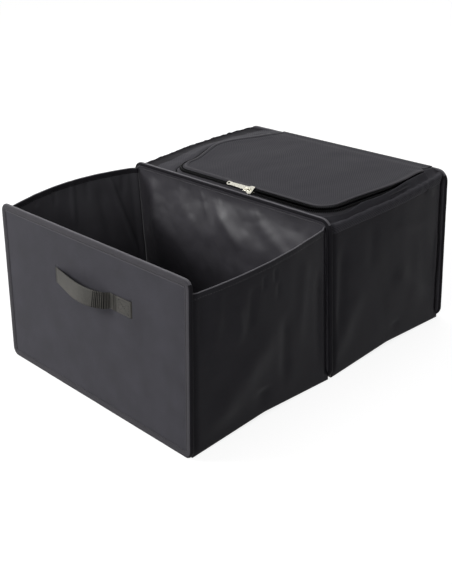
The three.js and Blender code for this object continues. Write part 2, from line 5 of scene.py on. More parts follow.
import bisect
import math

import bmesh
import bpy
from mathutils import Matrix, Vector, noise


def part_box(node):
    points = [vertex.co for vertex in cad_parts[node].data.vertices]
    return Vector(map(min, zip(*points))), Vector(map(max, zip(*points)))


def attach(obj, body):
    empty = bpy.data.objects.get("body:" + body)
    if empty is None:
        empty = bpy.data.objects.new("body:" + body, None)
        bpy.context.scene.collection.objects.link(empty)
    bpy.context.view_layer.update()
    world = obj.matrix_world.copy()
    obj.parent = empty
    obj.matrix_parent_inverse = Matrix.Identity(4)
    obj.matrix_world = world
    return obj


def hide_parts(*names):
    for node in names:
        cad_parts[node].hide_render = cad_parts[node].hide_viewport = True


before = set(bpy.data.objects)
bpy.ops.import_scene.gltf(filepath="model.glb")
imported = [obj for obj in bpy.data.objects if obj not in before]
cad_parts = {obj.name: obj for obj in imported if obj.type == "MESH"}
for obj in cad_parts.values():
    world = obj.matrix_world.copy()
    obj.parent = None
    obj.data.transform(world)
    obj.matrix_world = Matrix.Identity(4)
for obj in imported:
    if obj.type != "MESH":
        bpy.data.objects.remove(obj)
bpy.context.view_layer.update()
print("frame loaded:", len(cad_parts), "nodes")

mm = 0.001
dividerLow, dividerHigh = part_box("divider_binding")
middle = (dividerLow + dividerHigh) / 2

# sizes that several pieces share
box = {
    "halfWidth": 240,
    "height": 280,
    "skin": 2.3,  # from a wall's middle to the face of its cloth
    "bindingHalf": 3.6,
    "seam": 3.9,  # from a wall's middle to the cloth that meets it
    "gussetPlane": 234,
    "hingeLine": 294.5,
}
walls = {
    "frontPanel": {"middle": -304.4, "lean": 4.49, "radius": 14},
    "divider": {"middle": 0, "lean": 0, "radius": 20},
    "rearPanel": {"middle": 298.4, "lean": 0, "radius": 20},
}


def at(x, y, z):
    return Vector((middle.x + x * mm, middle.y + y * mm, z * mm))


def lerp(a, b, t):
    return a + (b - a) * t


def ease(a, b, value):
    t = min(max((value - a) / (b - a), 0.0), 1.0)
    return t * t * (3 - 2 * t)


def ripple(x, y, seed=0.0):  # smooth noise from about -1 to 1, the same on each run
    return noise.noise(Vector((x, y, seed * 7.31)))


def spread(count, start=0.0, end=1.0):
    return [lerp(start, end, i / count) for i in range(count + 1)]


def walked(points):  # the distance along a row of points, at each of them
    along = [0.0]
    for a, b in zip(points, points[1:]):
        along.append(along[-1] + math.dist(a, b))
    return along


# colours and nodes
def linear(code):  # sRGB hex to the linear colour that a shader wants
    parts = [int(code[i:i + 2], 16) / 255 for i in (1, 3, 5)]
    return tuple(c / 12.92 if c <= 0.04045 else ((c + 0.055) / 1.055) ** 2.4 for c in parts) + (1.0,)


def addNode(tree, kind, settings=None, inputs=None, links=None):
    node = tree.nodes.new(kind)
    for name, value in (settings or {}).items():
        setattr(node, name, value)
    for name, value in (inputs or {}).items():
        node.inputs[name].default_value = value
    for name, socket in (links or {}).items():
        tree.links.new(socket, node.inputs[name])
    return node


def newMaterial(name, settings):
    material = bpy.data.materials.new(name)
    material.use_nodes = True
    tree = material.node_tree
    shader = tree.nodes["Principled BSDF"]
    for socket, value in settings.items():
        shader.inputs[socket].default_value = value
    return material, tree, shader


# A surface: tone picks its colour between dark and light, gloss its roughness, and height its bump.
# The ends are the values of tone and gloss that stand for the first and last of those; relief is in mm.
def dress(tree, shader, look, tone, gloss, height, toneEnds, glossEnds, relief):
    ramp = addNode(tree, "ShaderNodeValToRGB", links={"Fac": tone})
    for element, place, colour in zip(ramp.color_ramp.elements, toneEnds, (look["dark"], look["light"])):
        element.position = place
        element.color = linear(colour)
    tree.links.new(ramp.outputs["Color"], shader.inputs["Base Color"])
    ends = dict(zip(("From Min", "From Max", "To Min", "To Max"), glossEnds + look["roughness"]))
    rough = addNode(tree, "ShaderNodeMapRange", inputs=ends, links={"Value": gloss})
    tree.links.new(rough.outputs["Result"], shader.inputs["Roughness"])
    bump = addNode(tree, "ShaderNodeBump", inputs={"Strength": look["bump"], "Distance": relief * mm},
                   links={"Height": height})
    tree.links.new(bump.outputs["Normal"], shader.inputs["Normal"])


# Woven cloth: threads that cross over and under, slubs in the yarn, and slow clouds in tone and gloss.
# warp and weft are the thread spacings in millimetres, and wale is the spacing of a twill's diagonal lines.
weaving = {
    "thread": 0.3, "slub": 0.8, "cloud": 0.9, "base": -0.35,  # what each adds to the tone
    "slubScale": 700.0,  # slubs about 1.4 mm long
    "cloudScale": 20.0,  # clouds about 50 mm across
    "relief": 0.3,
}


def wovenMaterial(name, look):
    material, tree, shader = newMaterial(name, {
        "IOR": 1.5, "Sheen Weight": look.get("sheen", 0.0), "Sheen Roughness": 0.4,
        "Specular IOR Level": look["specular"],
    })
    uv = addNode(tree, "ShaderNodeUVMap", {"uv_map": "cloth"}).outputs["UV"]
    split = addNode(tree, "ShaderNodeSeparateXYZ", links={"Vector": uv})

    def threads(place, spacing):
        turns = 2 * math.pi / (spacing * mm)
        angle = addNode(tree, "ShaderNodeMath", {"operation": "MULTIPLY"}, {1: turns}, {0: place})
        return addNode(tree, "ShaderNodeMath", {"operation": "SINE"}, links={0: angle.outputs[0]}).outputs[0]

    if "wale" in look:
        slant = addNode(tree, "ShaderNodeMath", {"operation": "ADD"},
                        links={0: split.outputs["X"], 1: split.outputs["Y"]})
        weave = threads(slant.outputs[0], look["wale"] * math.sqrt(2))
    else:
        across, along = threads(split.outputs["X"], look["warp"]), threads(split.outputs["Y"], look["weft"])
        weave = addNode(tree, "ShaderNodeMath", {"operation": "MULTIPLY"},
                        links={0: across, 1: along}).outputs[0]
    slub = addNode(tree, "ShaderNodeTexNoise", inputs={"Scale": weaving["slubScale"], "Detail": 2.0},
                   links={"Vector": uv})
    cloud = addNode(tree, "ShaderNodeTexNoise", inputs={"Scale": weaving["cloudScale"], "Detail": 5.0},
                    links={"Vector": uv})
    raised = addNode(tree, "ShaderNodeMath", {"operation": "MULTIPLY_ADD"},
                     {1: weaving["thread"], 2: weaving["base"]}, {0: weave})
    raised = addNode(tree, "ShaderNodeMath", {"operation": "MULTIPLY_ADD"}, {1: weaving["slub"]},
                     {0: slub.outputs["Fac"], 2: raised.outputs[0]}).outputs[0]
    tone = addNode(tree, "ShaderNodeMath", {"operation": "MULTIPLY_ADD"}, {1: weaving["cloud"]},
                   {0: cloud.outputs["Fac"], 2: raised}).outputs[0]
    dress(tree, shader, look, tone, cloud.outputs["Fac"], raised, (0.0, 1.0), (0.3, 0.7), weaving["relief"])
    return material


# 600 denier polyester Oxford: flat slate black with a fine even grain.
# Its threads are 0.4 mm apart, drawn at 1.6 mm because finer ones don't show in the picture.
oxfordCloth = wovenMaterial("polyesterOxford", {
    "warp": 1.6, "weft": 1.6, "dark": "#26252a", "light": "#54535a",
    "roughness": (0.66, 0.78), "specular": 0.2, "sheen": 0.03, "bump": 0.35,
})
# 210 denier polyester with a polyurethane coat: smoother, so that its folds catch a satin light.
# Threads 0.3 mm apart, drawn at 1.3 mm.
coatedCloth = wovenMaterial("polyurethaneCoatedPolyester", {
    "warp": 1.3, "weft": 1.3, "dark": "#343337", "light": "#4a484e",
    "roughness": (0.4, 0.5), "specular": 0.6, "bump": 0.15,
})
# the same yarn uncoated, on the gussets' outside: the darkest cloth, with a dull satin in its folds
gussetCloth = wovenMaterial("polyesterGussetCloth", {
    "warp": 1.3, "weft": 1.3, "dark": "#252428", "light": "#39383c",
    "roughness": (0.42, 0.52), "specular": 0.05, "bump": 0.2,
})
# the gussets' coated inside: a touch lighter, with a soft shine
gussetLining = wovenMaterial("polyurethaneCoatedGussetFace", {
    "warp": 1.3, "weft": 1.3, "dark": "#3a393d", "light": "#4d4c51",
    "roughness": (0.42, 0.52), "specular": 0.5, "bump": 0.15,
})
# polyester twill of the lid: grey with faint diagonal lines. Its wales are 0.8 mm apart, drawn at 3.2 mm.
lidTwill = wovenMaterial("polyesterTwill", {
    "wale": 3.2, "dark": "#323136", "light": "#4b4a4f",
    "roughness": (0.64, 0.76), "specular": 0.08, "sheen": 0.02, "bump": 0.3,
})
# polypropylene binding tape: fine ribs across it, the panels' grey
bindingTape = wovenMaterial("polypropyleneBindingTape", {
    "warp": 1.5, "weft": 3.0, "dark": "#39383c", "light": "#565459",
    "roughness": (0.5, 0.62), "specular": 0.1, "sheen": 0.02, "bump": 0.4,
})
# the same tape painted paler where it is folded over a top edge: a painted highlight, so that the edge draws
# a thin light line
paintedHighlightTape = wovenMaterial("bindingTapePaintedHighlight", {
    "warp": 1.5, "weft": 3.0, "dark": "#535157", "light": "#6a686e",
    "roughness": (0.4, 0.5), "specular": 0.25, "sheen": 0.05, "bump": 0.3,
})
# the same tape painted dark: painted shade down the walls' side edges, inside the open compartment and on the
# left border's outer strip
paintedShadeTape = wovenMaterial("bindingTapePaintedShade", {
    "warp": 1.5, "weft": 3.0, "dark": "#1d1c1f", "light": "#2e2d31",
    "roughness": (0.5, 0.62), "specular": 0.03, "bump": 0.4,
})
# polypropylene webbing of the handles: warm grey, thick yarn with ribs across
webbingWeave = wovenMaterial("polypropyleneWebbing", {
    "warp": 2.2, "weft": 1.8, "dark": "#242321", "light": "#66645f",
    "roughness": (0.5, 0.62), "specular": 0.2, "sheen": 0.03, "bump": 1.0,
})
# the same webbing down between its ribs, where little light gets in
webbingGroove = wovenMaterial("shadedPolypropyleneWebbing", {
    "warp": 2.2, "weft": 1.8, "dark": "#141413", "light": "#232220",
    "roughness": (0.6, 0.7), "specular": 0.05, "bump": 0.4,
})
# woven polyester zip tape: flat grey like the cloth beside it
zipTapeCloth = wovenMaterial("polyesterZipTape", {
    "warp": 1.2, "weft": 1.2, "dark": "#38373b", "light": "#4a494d",
    "roughness": (0.6, 0.7), "specular": 0.05, "bump": 0.4,
})


# Materials with no weave: noise in the object's own space varies colour and gloss
def plainMaterial(name, look):
    material, tree, shader = newMaterial(name, look["shader"])
    place = addNode(tree, "ShaderNodeTexCoord").outputs["Object"]
    grain = addNode(tree, "ShaderNodeTexNoise", inputs={"Scale": look["scale"], "Detail": 4.0},
                    links={"Vector": place}).outputs["Fac"]
    dress(tree, shader, look, grain, grain, grain, (0.3, 0.7), (0.0, 1.0), 0.2)
    return material


# bonded polyester thread: dark, with a slight shine where it rises
thread = plainMaterial("bondedPolyesterThread", {
    "shader": {"IOR": 1.5}, "scale": 900.0, "dark": "#1f1e21", "light": "#343338",
    "roughness": (0.4, 0.55), "bump": 0.2,
})
# moulded acetal zip teeth: black, smooth and a little shiny
acetal = plainMaterial("mouldedAcetal", {
    "shader": {"IOR": 1.48, "Specular IOR Level": 0.1}, "scale": 400.0, "dark": "#0e0e0f", "light": "#19191b",
    "roughness": (0.4, 0.5), "bump": 0.05,
})
# nickel-plated zinc: pale warm metal with fine tumbling marks
nickel = plainMaterial("nickelPlatedZinc", {
    "shader": {"Metallic": 1.0}, "scale": 600.0, "dark": "#c9c6ba", "light": "#dedcd0",
    "roughness": (0.2, 0.34), "bump": 0.08,
})
# pressed grey board inside the walls and floors: dull, mottled and fibrous
greyBoard = plainMaterial("pressedGreyBoard", {
    "shader": {"IOR": 1.5}, "scale": 160.0, "dark": "#79705f", "light": "#93897a",
    "roughness": (0.85, 0.95), "bump": 0.3,
})
print("materials made")


# meshes
def addPiece(name, points, faces, uvs, material, body, slot, stands=(), smooth=True):
    mesh = bpy.data.meshes.new(name)
    mesh.from_pydata([at(*p) for p in points], [], faces)
    layer = mesh.uv_layers.new(name="cloth")
    for loop in mesh.loops:
        u, v = uvs[loop.vertex_index]
        layer.data[loop.index].uv = (u * mm, v * mm)
    mesh.polygons.foreach_set("use_smooth", [smooth] * len(mesh.polygons))
    mesh.materials.append(material)
    mesh.update()
    piece = bpy.data.objects.new(name, mesh)
    bpy.context.scene.collection.objects.link(piece)
    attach(piece, body)
    if stands:
        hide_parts(*stands)
    return piece


# a cloth on a grid: place(u, v) gives its points, lay(u, v) their places on the flat cut, and isOpen(u, v)
# says where a hole is cut
def addGrid(name, us, vs, place, lay, isOpen=None, **rest):
    points = [place(u, v) for v in vs for u in us]
    uvs = [lay(u, v) for v in vs for u in us]
    wide = len(us)
    faces = []
    for j in range(len(vs) - 1):
        for i in range(wide - 1):
            a = j * wide + i
            if not isOpen or not isOpen((us[i] + us[i + 1]) / 2, (vs[j] + vs[j + 1]) / 2):
                faces.append((a, a + 1, a + wide + 1, a + wide))
    return addPiece(name, points, faces, uvs, **rest)


def thicken(piece, thickness, inside=None):
    solid = piece.modifiers.new("thickness", "SOLIDIFY")
    solid.thickness = thickness * mm
    solid.offset = 0
    if inside:  # the back of the cloth has a material of its own
        piece.data.materials.append(inside)
        solid.material_offset = 1
    return piece


# another material on the sides of a sweep that are named by their place in the section, on every ring
# or on those that where() picks
def faceSides(piece, sides, count, material, where=None):
    piece.data.materials.append(material)
    slot = len(piece.data.materials) - 1
    for index, polygon in enumerate(piece.data.polygons):
        if polygon.loop_total == 4 and index % count in sides and (where is None or where(index // count)):
            polygon.material_index = slot


# a skin over rings of points, each ring closed; the row of rings is closed too when loop is true
def addSweep(name, rings, ringUvs, loop=False, **rest):
    sides = len(rings[0])
    points = [p for ring in rings for p in ring]
    uvs = [p for ring in ringUvs for p in ring]
    faces = []
    count = len(rings) if loop else len(rings) - 1
    for i in range(count):
        near, far = i * sides, ((i + 1) % len(rings)) * sides
        for j in range(sides):
            k = (j + 1) % sides
            faces.append((near + j, near + k, far + k, far + j))
    if not loop:
        faces.append(tuple(range(sides))[::-1])
        faces.append(tuple(range(len(points) - sides, len(points))))
    return addPiece(name, points, faces, uvs, **rest)


# Sewing: each stitch is a short thread that dips into the cloth at both ends
stitching = {
    "length": 3.2, "pitch": 4.2, "radius": 0.34, "sides": 5, "first": 0.6,
    "ends": ((0.6, -0.12), (1.0, 0.2), (0.6, -0.12)),  # share of the radius, and lift, at its ends and middle
}


def sewLines(name, lines, body, slot, material=None):
    points, faces, uvs = [], [], []
    sides = stitching["sides"]
    for line in lines:  # a line is a row of (place, way out of the cloth)
        places = [Vector(p) for p, _ in line]
        outs = [Vector(n) for _, n in line]
        lengths = walked(places)
        start, spot = stitching["first"], 0
        while start + stitching["length"] < lengths[-1]:
            ends = []
            for part in (0, 0.5, 1):
                distance = start + part * stitching["length"]
                while lengths[spot + 1] < distance and spot < len(lengths) - 2:
                    spot += 1
                share = (distance - lengths[spot]) / max(lengths[spot + 1] - lengths[spot], 1e-6)
                out = outs[spot].lerp(outs[spot + 1], share)
                ends.append((places[spot].lerp(places[spot + 1], share), out.normalized()))
            way = (ends[2][0] - ends[0][0]).normalized()
            base = len(points)
            for (place, out), (size, lift) in zip(ends, stitching["ends"]):
                side = way.cross(out).normalized()
                for k in range(sides):
                    turn = 2 * math.pi * k / sides
                    radius = stitching["radius"] * size
                    p = place + out * (lift + radius * math.sin(turn)) + side * (radius * math.cos(turn))
                    points.append(tuple(p))
                    uvs.append((0.0, 0.0))
            for ring in (0, 1):
                for k in range(sides):
                    a, b = base + ring * sides + k, base + ring * sides + (k + 1) % sides
                    faces.append((a, b, b + sides, a + sides))
            faces.append(tuple(base + k for k in range(sides))[::-1])
            faces.append(tuple(base + 2 * sides + k for k in range(sides)))
            start += stitching["pitch"]
    return addPiece(name, points, faces, uvs, material or thread, body, slot)


# Walls: card between two cloths with a folded tape sewn round the edge
def onWall(wall, x, out, z):
    lean = math.radians(wall["lean"])
    y = wall["middle"] + out * math.cos(lean) + z * math.sin(lean)
    return (x, y, box["bindingHalf"] * math.sin(lean) - out * math.sin(lean) + z * math.cos(lean))


def wallNormal(wall, side):
    lean = math.radians(wall["lean"])
    return Vector((0, side * math.cos(lean), -side * math.sin(lean)))


handleLook = {
    "ends": (-85, 109), "height": 26, "middle": 195, "webbing": 1.6, "slit": 2.2, "corner": 2.2,
    "bow": 18, "flats": (3, 50),  # how far it stands out, and how much of each end lies flat
    "skew": 1.7, "full": 0.6, "tilt": 0.15,  # the bow's peak to the right, its roundness, its lower edge out
    "slitEase": 0.6, "slitClear": (2.5, 1.5),  # room over the webbing, and off other grid lines
    "steps": {"left": 14, "bow": 260, "patch": 40},
    "ribs": (36, 76), "ribPitch": 3.2, "ribDepth": 0.5,
    "patch": (30, 5), "patchEdge": 3,  # the sewn square: from and to the right slit, and in from the edges
}
panelLook = {"edge": 7, "swell": 0.5, "cloth": 0.8, "columns": 78, "rows": 46}


def addSkin(name, wallName, side, swell, material, slot, node, slits=False):
    wall = walls[wallName]
    low, high = panelLook["edge"], box["height"] - panelLook["edge"]
    half = box["halfWidth"] - panelLook["edge"]
    level = handleLook["middle"] / math.cos(math.radians(wall["lean"]))
    slitHalf = handleLook["slit"] / 2
    slitHigh = handleLook["height"] / 2 + handleLook["slitEase"]
    clearX, clearZ = handleLook["slitClear"]
    fine = 2 if swell is liningSwell else 1
    xs = spread(panelLook["columns"] * fine, -half, half)
    zs = spread(panelLook["rows"] * fine, low, high)
    if slits:
        for end in handleLook["ends"]:
            xs = [x for x in xs if abs(x - end) > clearX] + [end - slitHalf, end + slitHalf]
        zs = [z for z in zs if abs(abs(z - level) - slitHigh) > clearZ]
        zs += [level - slitHigh, level + slitHigh]
        xs, zs = sorted(xs), sorted(zs)

    def place(x, z):
        inside = min(half + panelLook["edge"] - abs(x), z, box["height"] - z)
        rise = swell(x, z) * ease(12, 30, inside)
        return onWall(wall, x, side * (box["skin"] - panelLook["cloth"] / 2 + rise), z)

    def inSlit(x, z):
        return abs(z - level) < slitHigh and any(abs(x - end) < slitHalf for end in handleLook["ends"])

    skin = addGrid(name, xs, zs, place, lambda x, z: (x, z), material=material, body="root",
                   slot=slot, stands=(node,), isOpen=inSlit if slits else None)
    thicken(skin, panelLook["cloth"])


def quietSwell(share, seed):  # stretched cloth over card: barely moves, and not at all under the handle
    left, right = handleLook["ends"]

    def swell(x, z):
        wave = 0.5 + 0.5 * ripple(x / 70, z / 60, seed)
        clear = ease(20, 60, max(abs(z - handleLook["middle"]) - 15, left - x, x - right, 0))
        return share * (panelLook["swell"] * wave * clear)

    return swell


# The divider's lining is looser than the card: it sags into a belly and hangs in folds from the binding.
# Folds are (x, z) at the top and bottom, half width and height; tucks are x, length, slant and height.
liningLook = {
    "belly": 16,
    "bellyFoot": 4, "bellyTop": 266, "bellyLeft": (-222, -170),  # flat below, above and left of these
    "bellyHeight": ((-240, 140), (-181, 172), (-150, 155), (-101, 168), (-62, 178), (19, 198), (66, 188),
                    (109, 180), (240, 165)),
    "folds": (
        ((-188, 250), (-176, 170), 13, 3.6), ((-18, 246), (50, 190), 11, 3.2),
        ((72, 246), (172, 200), 14, 3.0), ((-118, 240), (-60, 190), 15, 2.2),
        ((-60, 150), (60, 110), 20, 3.0), ((130, 240), (215, 214), 12, 1.6),
        ((-165, 190), (-70, 120), 16, 2.6), ((30, 160), (150, 96), 17, 3.0),
        ((120, 180), (232, 124), 15, 2.6), ((-206, 200), (-198, 90), 9, -1.2),
        ((-20, 200), (10, 150), 9, 1.6),
    ),
    "tuckTop": 270, "tuckHalf": 4.5,
    "tucks": ((-187, 26, 0.1, 1.3), (-164, 20, 0.5, 1.1), (-150, 14, 0.0, 0.7), (-112, 28, 0.1, 1.3),
              (-94, 16, 0.0, 0.8), (-76, 22, 0.2, 1.0), (-60, 40, 0.5, 1.6), (-44, 16, 0.1, 0.8),
              (-18, 24, 0.6, 1.4), (0, 14, 0.1, 0.8), (38, 18, 0.2, 0.8), (60, 14, 0.0, 0.7),
              (74, 26, 0.6, 1.5), (104, 16, 0.3, 0.8), (139, 18, 0.2, 0.9), (168, 14, 0.2, 0.7),
              (196, 18, 0.1, 0.8)),
}


def ridge(x, z, start, end, half):  # 1 along the line from start to end, falling off to its sides and ends
    (ax, az), (bx, bz) = start, end
    length = math.hypot(bx - ax, bz - az)
    wayX, wayZ = (bx - ax) / length, (bz - az) / length
    along = ((x - ax) * wayX + (z - az) * wayZ) / length
    across = (x - ax) * wayZ - (z - az) * wayX
    return math.exp(-(across / half) ** 2) * ease(-0.15, 0.2, along) * ease(1.3, 0.7, along)


def liningSwell(x, z):
    marks = liningLook["bellyHeight"]
    peak = marks[-1][1]
    for (ax, az), (bx, bz) in zip(marks, marks[1:]):
        if ax <= x <= bx:
            peak = lerp(az, bz, ease(ax, bx, x))
            break
    foot = liningLook["bellyTop"] if z > peak else liningLook["bellyFoot"]
    belly = liningLook["belly"] * ease(foot, peak, z) * ease(*liningLook["bellyLeft"], x)
    swell = belly * (0.85 + 0.3 * ripple(x / 90, z / 120, 5))
    for start, end, half, high in liningLook["folds"]:
        swell += high * ridge(x, z, start, end, half)
    for tuckX, length, slant, high in liningLook["tucks"]:
        drop = liningLook["tuckTop"] - z
        across = (x - tuckX - slant * drop) / liningLook["tuckHalf"]
        swell += high * math.exp(-across ** 2) * ease(length * 1.6, 0, drop)
    swell += 0.9 * ripple(x / 26, z / 30, 6) + 0.8 * abs(ripple(x / 30 + z / 60, z / 24 - x / 80, 7))
    return max(swell, -0.6)  # the board stops the cloth


# name, wall, side of it, shape, cloth, slot, solid, and whether the handle's slits are cut in it
for skin in (
    ("frontPanelCloth", "frontPanel", -1, quietSwell(1, 1), oxfordCloth, "outer_cloth",
     "front_panel_cloth", True),
    ("frontPanelLining", "frontPanel", 1, quietSwell(0.8, 3), coatedCloth, "lining", "front_panel_lining"),
    ("dividerFrontLining", "divider", -1, liningSwell, coatedCloth, "lining", "divider_front_cloth"),
    ("dividerRearCloth", "divider", 1, quietSwell(1, 4), oxfordCloth, "outer_cloth", "divider_rear_cloth"),
    ("rearPanelCloth", "rearPanel", 1, quietSwell(1, 6), oxfordCloth, "outer_cloth",
     "rear_panel_cloth", True),
    ("rearPanelLining", "rearPanel", -1, quietSwell(0.8, 8), coatedCloth, "lining", "rear_panel_lining"),
):
    addSkin(*skin)

bindingLook = {
    "stitchAt": 9.9, "stitchOut": 2.75, "wobble": 0.25, "step": 6,
    # the tape's outside, from its inner edge over the nose: depth from the wall's edge, and out
    "outside": [(12.0, 2.5), (11.9, 2.9), (11.3, 3.05), (10.5, 2.8), (9.9, 2.6), (9.3, 2.8), (8.6, 3.1),
                (5.5, 3.3), (2.6, 3.35), (1.2, 3.0), (0.4, 2.2), (0.0, 0.9)],
    "inside": [(1.1, 1.6), (1.9, 2.38), (12.0, 2.38)],
    "paintedHighlight": (0, 1, 10, 11, 12, 21, 22),  # sides of the section painted pale on the top edge: a painted highlight on the nose and inner edges
    "shaded": (13, 14, 15),  # sides just under the nose, on the front, painted dark: painted shade
    "lined": (16, 17, 18, 19, 20, 21, 22),  # sides below those, where the lining's own cloth laps over
    "nose": (8, 9, 10, 11, 12, 13, 14),  # sides over the wall's edge, painted dark below the top: painted shade on the side edges
}


def wallEdge(radius, step):  # round a wall: place, way in, and distance along
    half, top = box["halfWidth"], box["height"]
    corners = [(half - radius, radius, -90), (half - radius, top - radius, 0),
               (-half + radius, top - radius, 90), (-half + radius, radius, 180)]
    edge = []
    for index, (x, z, start) in enumerate(corners):
        for k in range(9):
            angle = math.radians(start + k * 90 / 8)
            outX, outZ = math.cos(angle), math.sin(angle)
            edge.append((x + radius * outX, z + radius * outZ, -outX, -outZ))
        nextX, nextZ, nextStart = corners[(index + 1) % 4]
        angle = math.radians(nextStart)
        ax, az, nx, nz = edge[-1]
        bx, bz = nextX + radius * math.cos(angle), nextZ + radius * math.sin(angle)
        count = int(math.hypot(bx - ax, bz - az) / step)
        edge += [(lerp(ax, bx, k / count), lerp(az, bz, k / count), nx, nz) for k in range(1, count)]
    return [(*spot, along) for spot, along in zip(edge, walked([spot[:2] for spot in edge]))]


def addBinding(name, wallName, node, seed):
    wall = walls[wallName]
    outside, inside = bindingLook["outside"], bindingLook["inside"]
    profile = outside + [(d, -o) for d, o in reversed(outside)]
    profile += [(d, -o) for d, o in reversed(inside)] + inside
    girth = walked(profile)
    rings, ringUvs = [], []
    edge = wallEdge(wall["radius"], bindingLook["step"])
    for x, z, nx, nz, along in edge:
        soft = bindingLook["wobble"] * ripple(x / 22 + z / 19, along / 150, seed)
        ring = []
        for depth, out in profile:
            pinch = 1 - 0.05 * ease(6, 11, depth) * (0.5 + 0.5 * ripple(along / 9, depth / 8, seed + 2))
            d = depth + soft * ease(12, 0, depth)
            ring.append(onWall(wall, x + nx * d, out * pinch, z + nz * d))
        rings.append(ring)
        ringUvs.append([(along, g) for g in girth])
    tape = addSweep(name, rings, ringUvs, loop=True, material=bindingTape, body="root", slot="binding",
                    stands=(node,))
    level = box["height"] - wall["radius"] / 2
    # painted highlight: the top edge's nose and inner edges in the paler tape
    faceSides(tape, bindingLook["paintedHighlight"], len(profile), paintedHighlightTape, lambda ring: edge[ring][1] > level)
    if name == "dividerBinding":  # its front half lies in the open compartment
        # painted shade: the sides just under the divider's nose in the dark tape
        faceSides(tape, bindingLook["shaded"], len(profile), paintedShadeTape)
        faceSides(tape, bindingLook["lined"], len(profile), coatedCloth)
    # painted shade: the nose below the top edge in the dark tape
    faceSides(tape, bindingLook["nose"], len(profile), paintedShadeTape, lambda ring: edge[ring][1] < level)
    lines = []
    deep, out = bindingLook["stitchAt"], bindingLook["stitchOut"]
    for side in (-1, 1):
        normal = wallNormal(wall, side)
        lines.append([(onWall(wall, x + nx * deep, side * out, z + nz * deep), normal)
                      for x, z, nx, nz, _ in edge + edge[:1]])
    sewLines(name + "Stitches", lines, "root", "binding")


addBinding("frontPanelBinding", "frontPanel", "front_panel_binding", 1)
addBinding("dividerBinding", "divider", "divider_binding", 2)
addBinding("rearPanelBinding", "rearPanel", "rear_panel_binding", 3)
print("walls made")


# Gussets: the cloth ends of both compartments, bowed out by what they have held
def frontInside(z):
    lean = math.radians(walls["frontPanel"]["lean"])
    return walls["frontPanel"]["middle"] + (box["seam"] + z * math.sin(lean)) / math.cos(lean)


rooms = {
    "front": {"start": frontInside, "end": lambda z: -box["seam"],
              "tops": {"left": (267, 272, 268), "right": (254, 263, 268)}, "bows": {"left": 22, "right": 15}},
    "rear": {"start": lambda z: box["seam"], "end": lambda z: box["hingeLine"],
             "tops": {"left": (268, 272, 275), "right": (266, 270, 274)}, "bows": {"left": 9, "right": 8}},
}
gussetLook = {
    "straightTop": 14, "thickness": 1.2, "floorRise": 8, "wave": 1.2, "tuck": 4.5,
    "deep": {"left": 1.0, "right": 1.7},  # how strongly each side's folds are drawn
    "columns": 110, "rows": 84, "flatHeight": 268,
}
# Folds of each gusset: (y, z) at both ends, half width, and how far it stands out (in, where negative)
gussetFolds = {
    "frontright": (
        ((-207, 213), (-201, 161), 9, 1.6), ((-176, 234), (-183, 177), 8, -1.4),
        ((-130, 148), (-260, 27), 26, 2.4), ((-110, 156), (-105, 54), 12, -1.8),
        ((-152, 50), (-154, 12), 14, -1.8), ((-156, 244), (-156, 224), 3.5, -0.9),
        ((-134, 248), (-133, 228), 3.5, -0.9), ((-127, 225), (-127, 200), 4.5, -0.7),
        ((-235, 249), (-244, 178), 9, 1.2), ((-265, 253), (-271, 182), 9, -1.4),
        ((-60, 240), (-75, 120), 14, 1.0), ((-30, 200), (-24, 60), 8, -1.6),
    ),
    "frontleft": (
        ((-59, 261), (-19, 109), 5, -3.0), ((-133, 272), (-138, 200), 5, -2.0),
        ((-171, 267), (-173, 240), 5, 1.2), ((-104, 264), (-104, 230), 6, 1.0),
        ((-215, 273), (-215, 250), 6, 1.0), ((-120, 150), (-240, 40), 16, 2.6),
        ((-80, 240), (-70, 150), 10, 1.6), ((-30, 262), (-34, 225), 6, 1.2),
    ),
    "rearright": (
        ((68, 133), (16, 36), 20, 1.4), ((32, 221), (24, 90), 10, -1.4),
        ((240, 262), (262, 250), 6, 1.0), ((282, 173), (284, 90), 6, 1.2),
        ((168, 132), (246, 68), 18, 1.6), ((158, 222), (237, 202), 10, 0.8),
        ((100, 240), (96, 170), 12, -0.8), ((170, 40), (172, 10), 12, -1.2),
    ),
    "rearleft": (
        ((70, 140), (18, 40), 16, 2.0), ((30, 220), (26, 100), 9, -2.0),
        ((190, 150), (250, 70), 16, 1.8), ((120, 240), (118, 180), 10, -1.0),
    ),
}


def through(heights, t):  # a parabola through three heights, at 0, 1/2 and 1
    a, b, c = heights
    return a * (1 - t) * (1 - 2 * t) + 4 * b * t * (1 - t) + c * t * (2 * t - 1)


def creaseHeight(t):
    return gussetLook["floorRise"] * (1 - abs(2 * t - 1))


def foldOut(roomName, side, t, z):  # folds and soft waves, none at the seams and the floor
    seed = list(gussetFolds).index(roomName + side) + 1
    room = rooms[roomName]
    y = lerp(room["start"](z), room["end"](z), t)
    out = sum(high * ridge(y, z, start, end, half) for start, end, half, high in gussetFolds[roomName + side])
    out *= gussetLook["deep"][side]
    waves = ripple(t * 4.2, z / 105, seed) + 0.45 * ripple(t * 11 + z / 300, z / 70, seed + 5)
    out += gussetLook["wave"] * waves
    ends = ease(0, 0.06, t) * ease(1, 0.94, t)
    foot = ease(creaseHeight(t) + 6, creaseHeight(t) + 45, z)
    tuck = gussetLook["tuck"] * (ease(13, 1, y - room["start"](z)) + ease(13, 1, room["end"](z) - y))
    return out * ends * foot - tuck * ease(6, 20, z)


def gussetPlace(roomName, side, t, z):
    room = rooms[roomName]
    foot = creaseHeight(t)
    straight = through(room["tops"][side], t) - gussetLook["straightTop"]
    bow = room["bows"][side] * math.sin(math.pi * t) * ease(foot, straight, z)
    bow += foldOut(roomName, side, t, z)
    x = (-1 if side == "left" else 1) * (box["gussetPlane"] + bow)
    return (x, lerp(room["start"](z), room["end"](z), t), z)


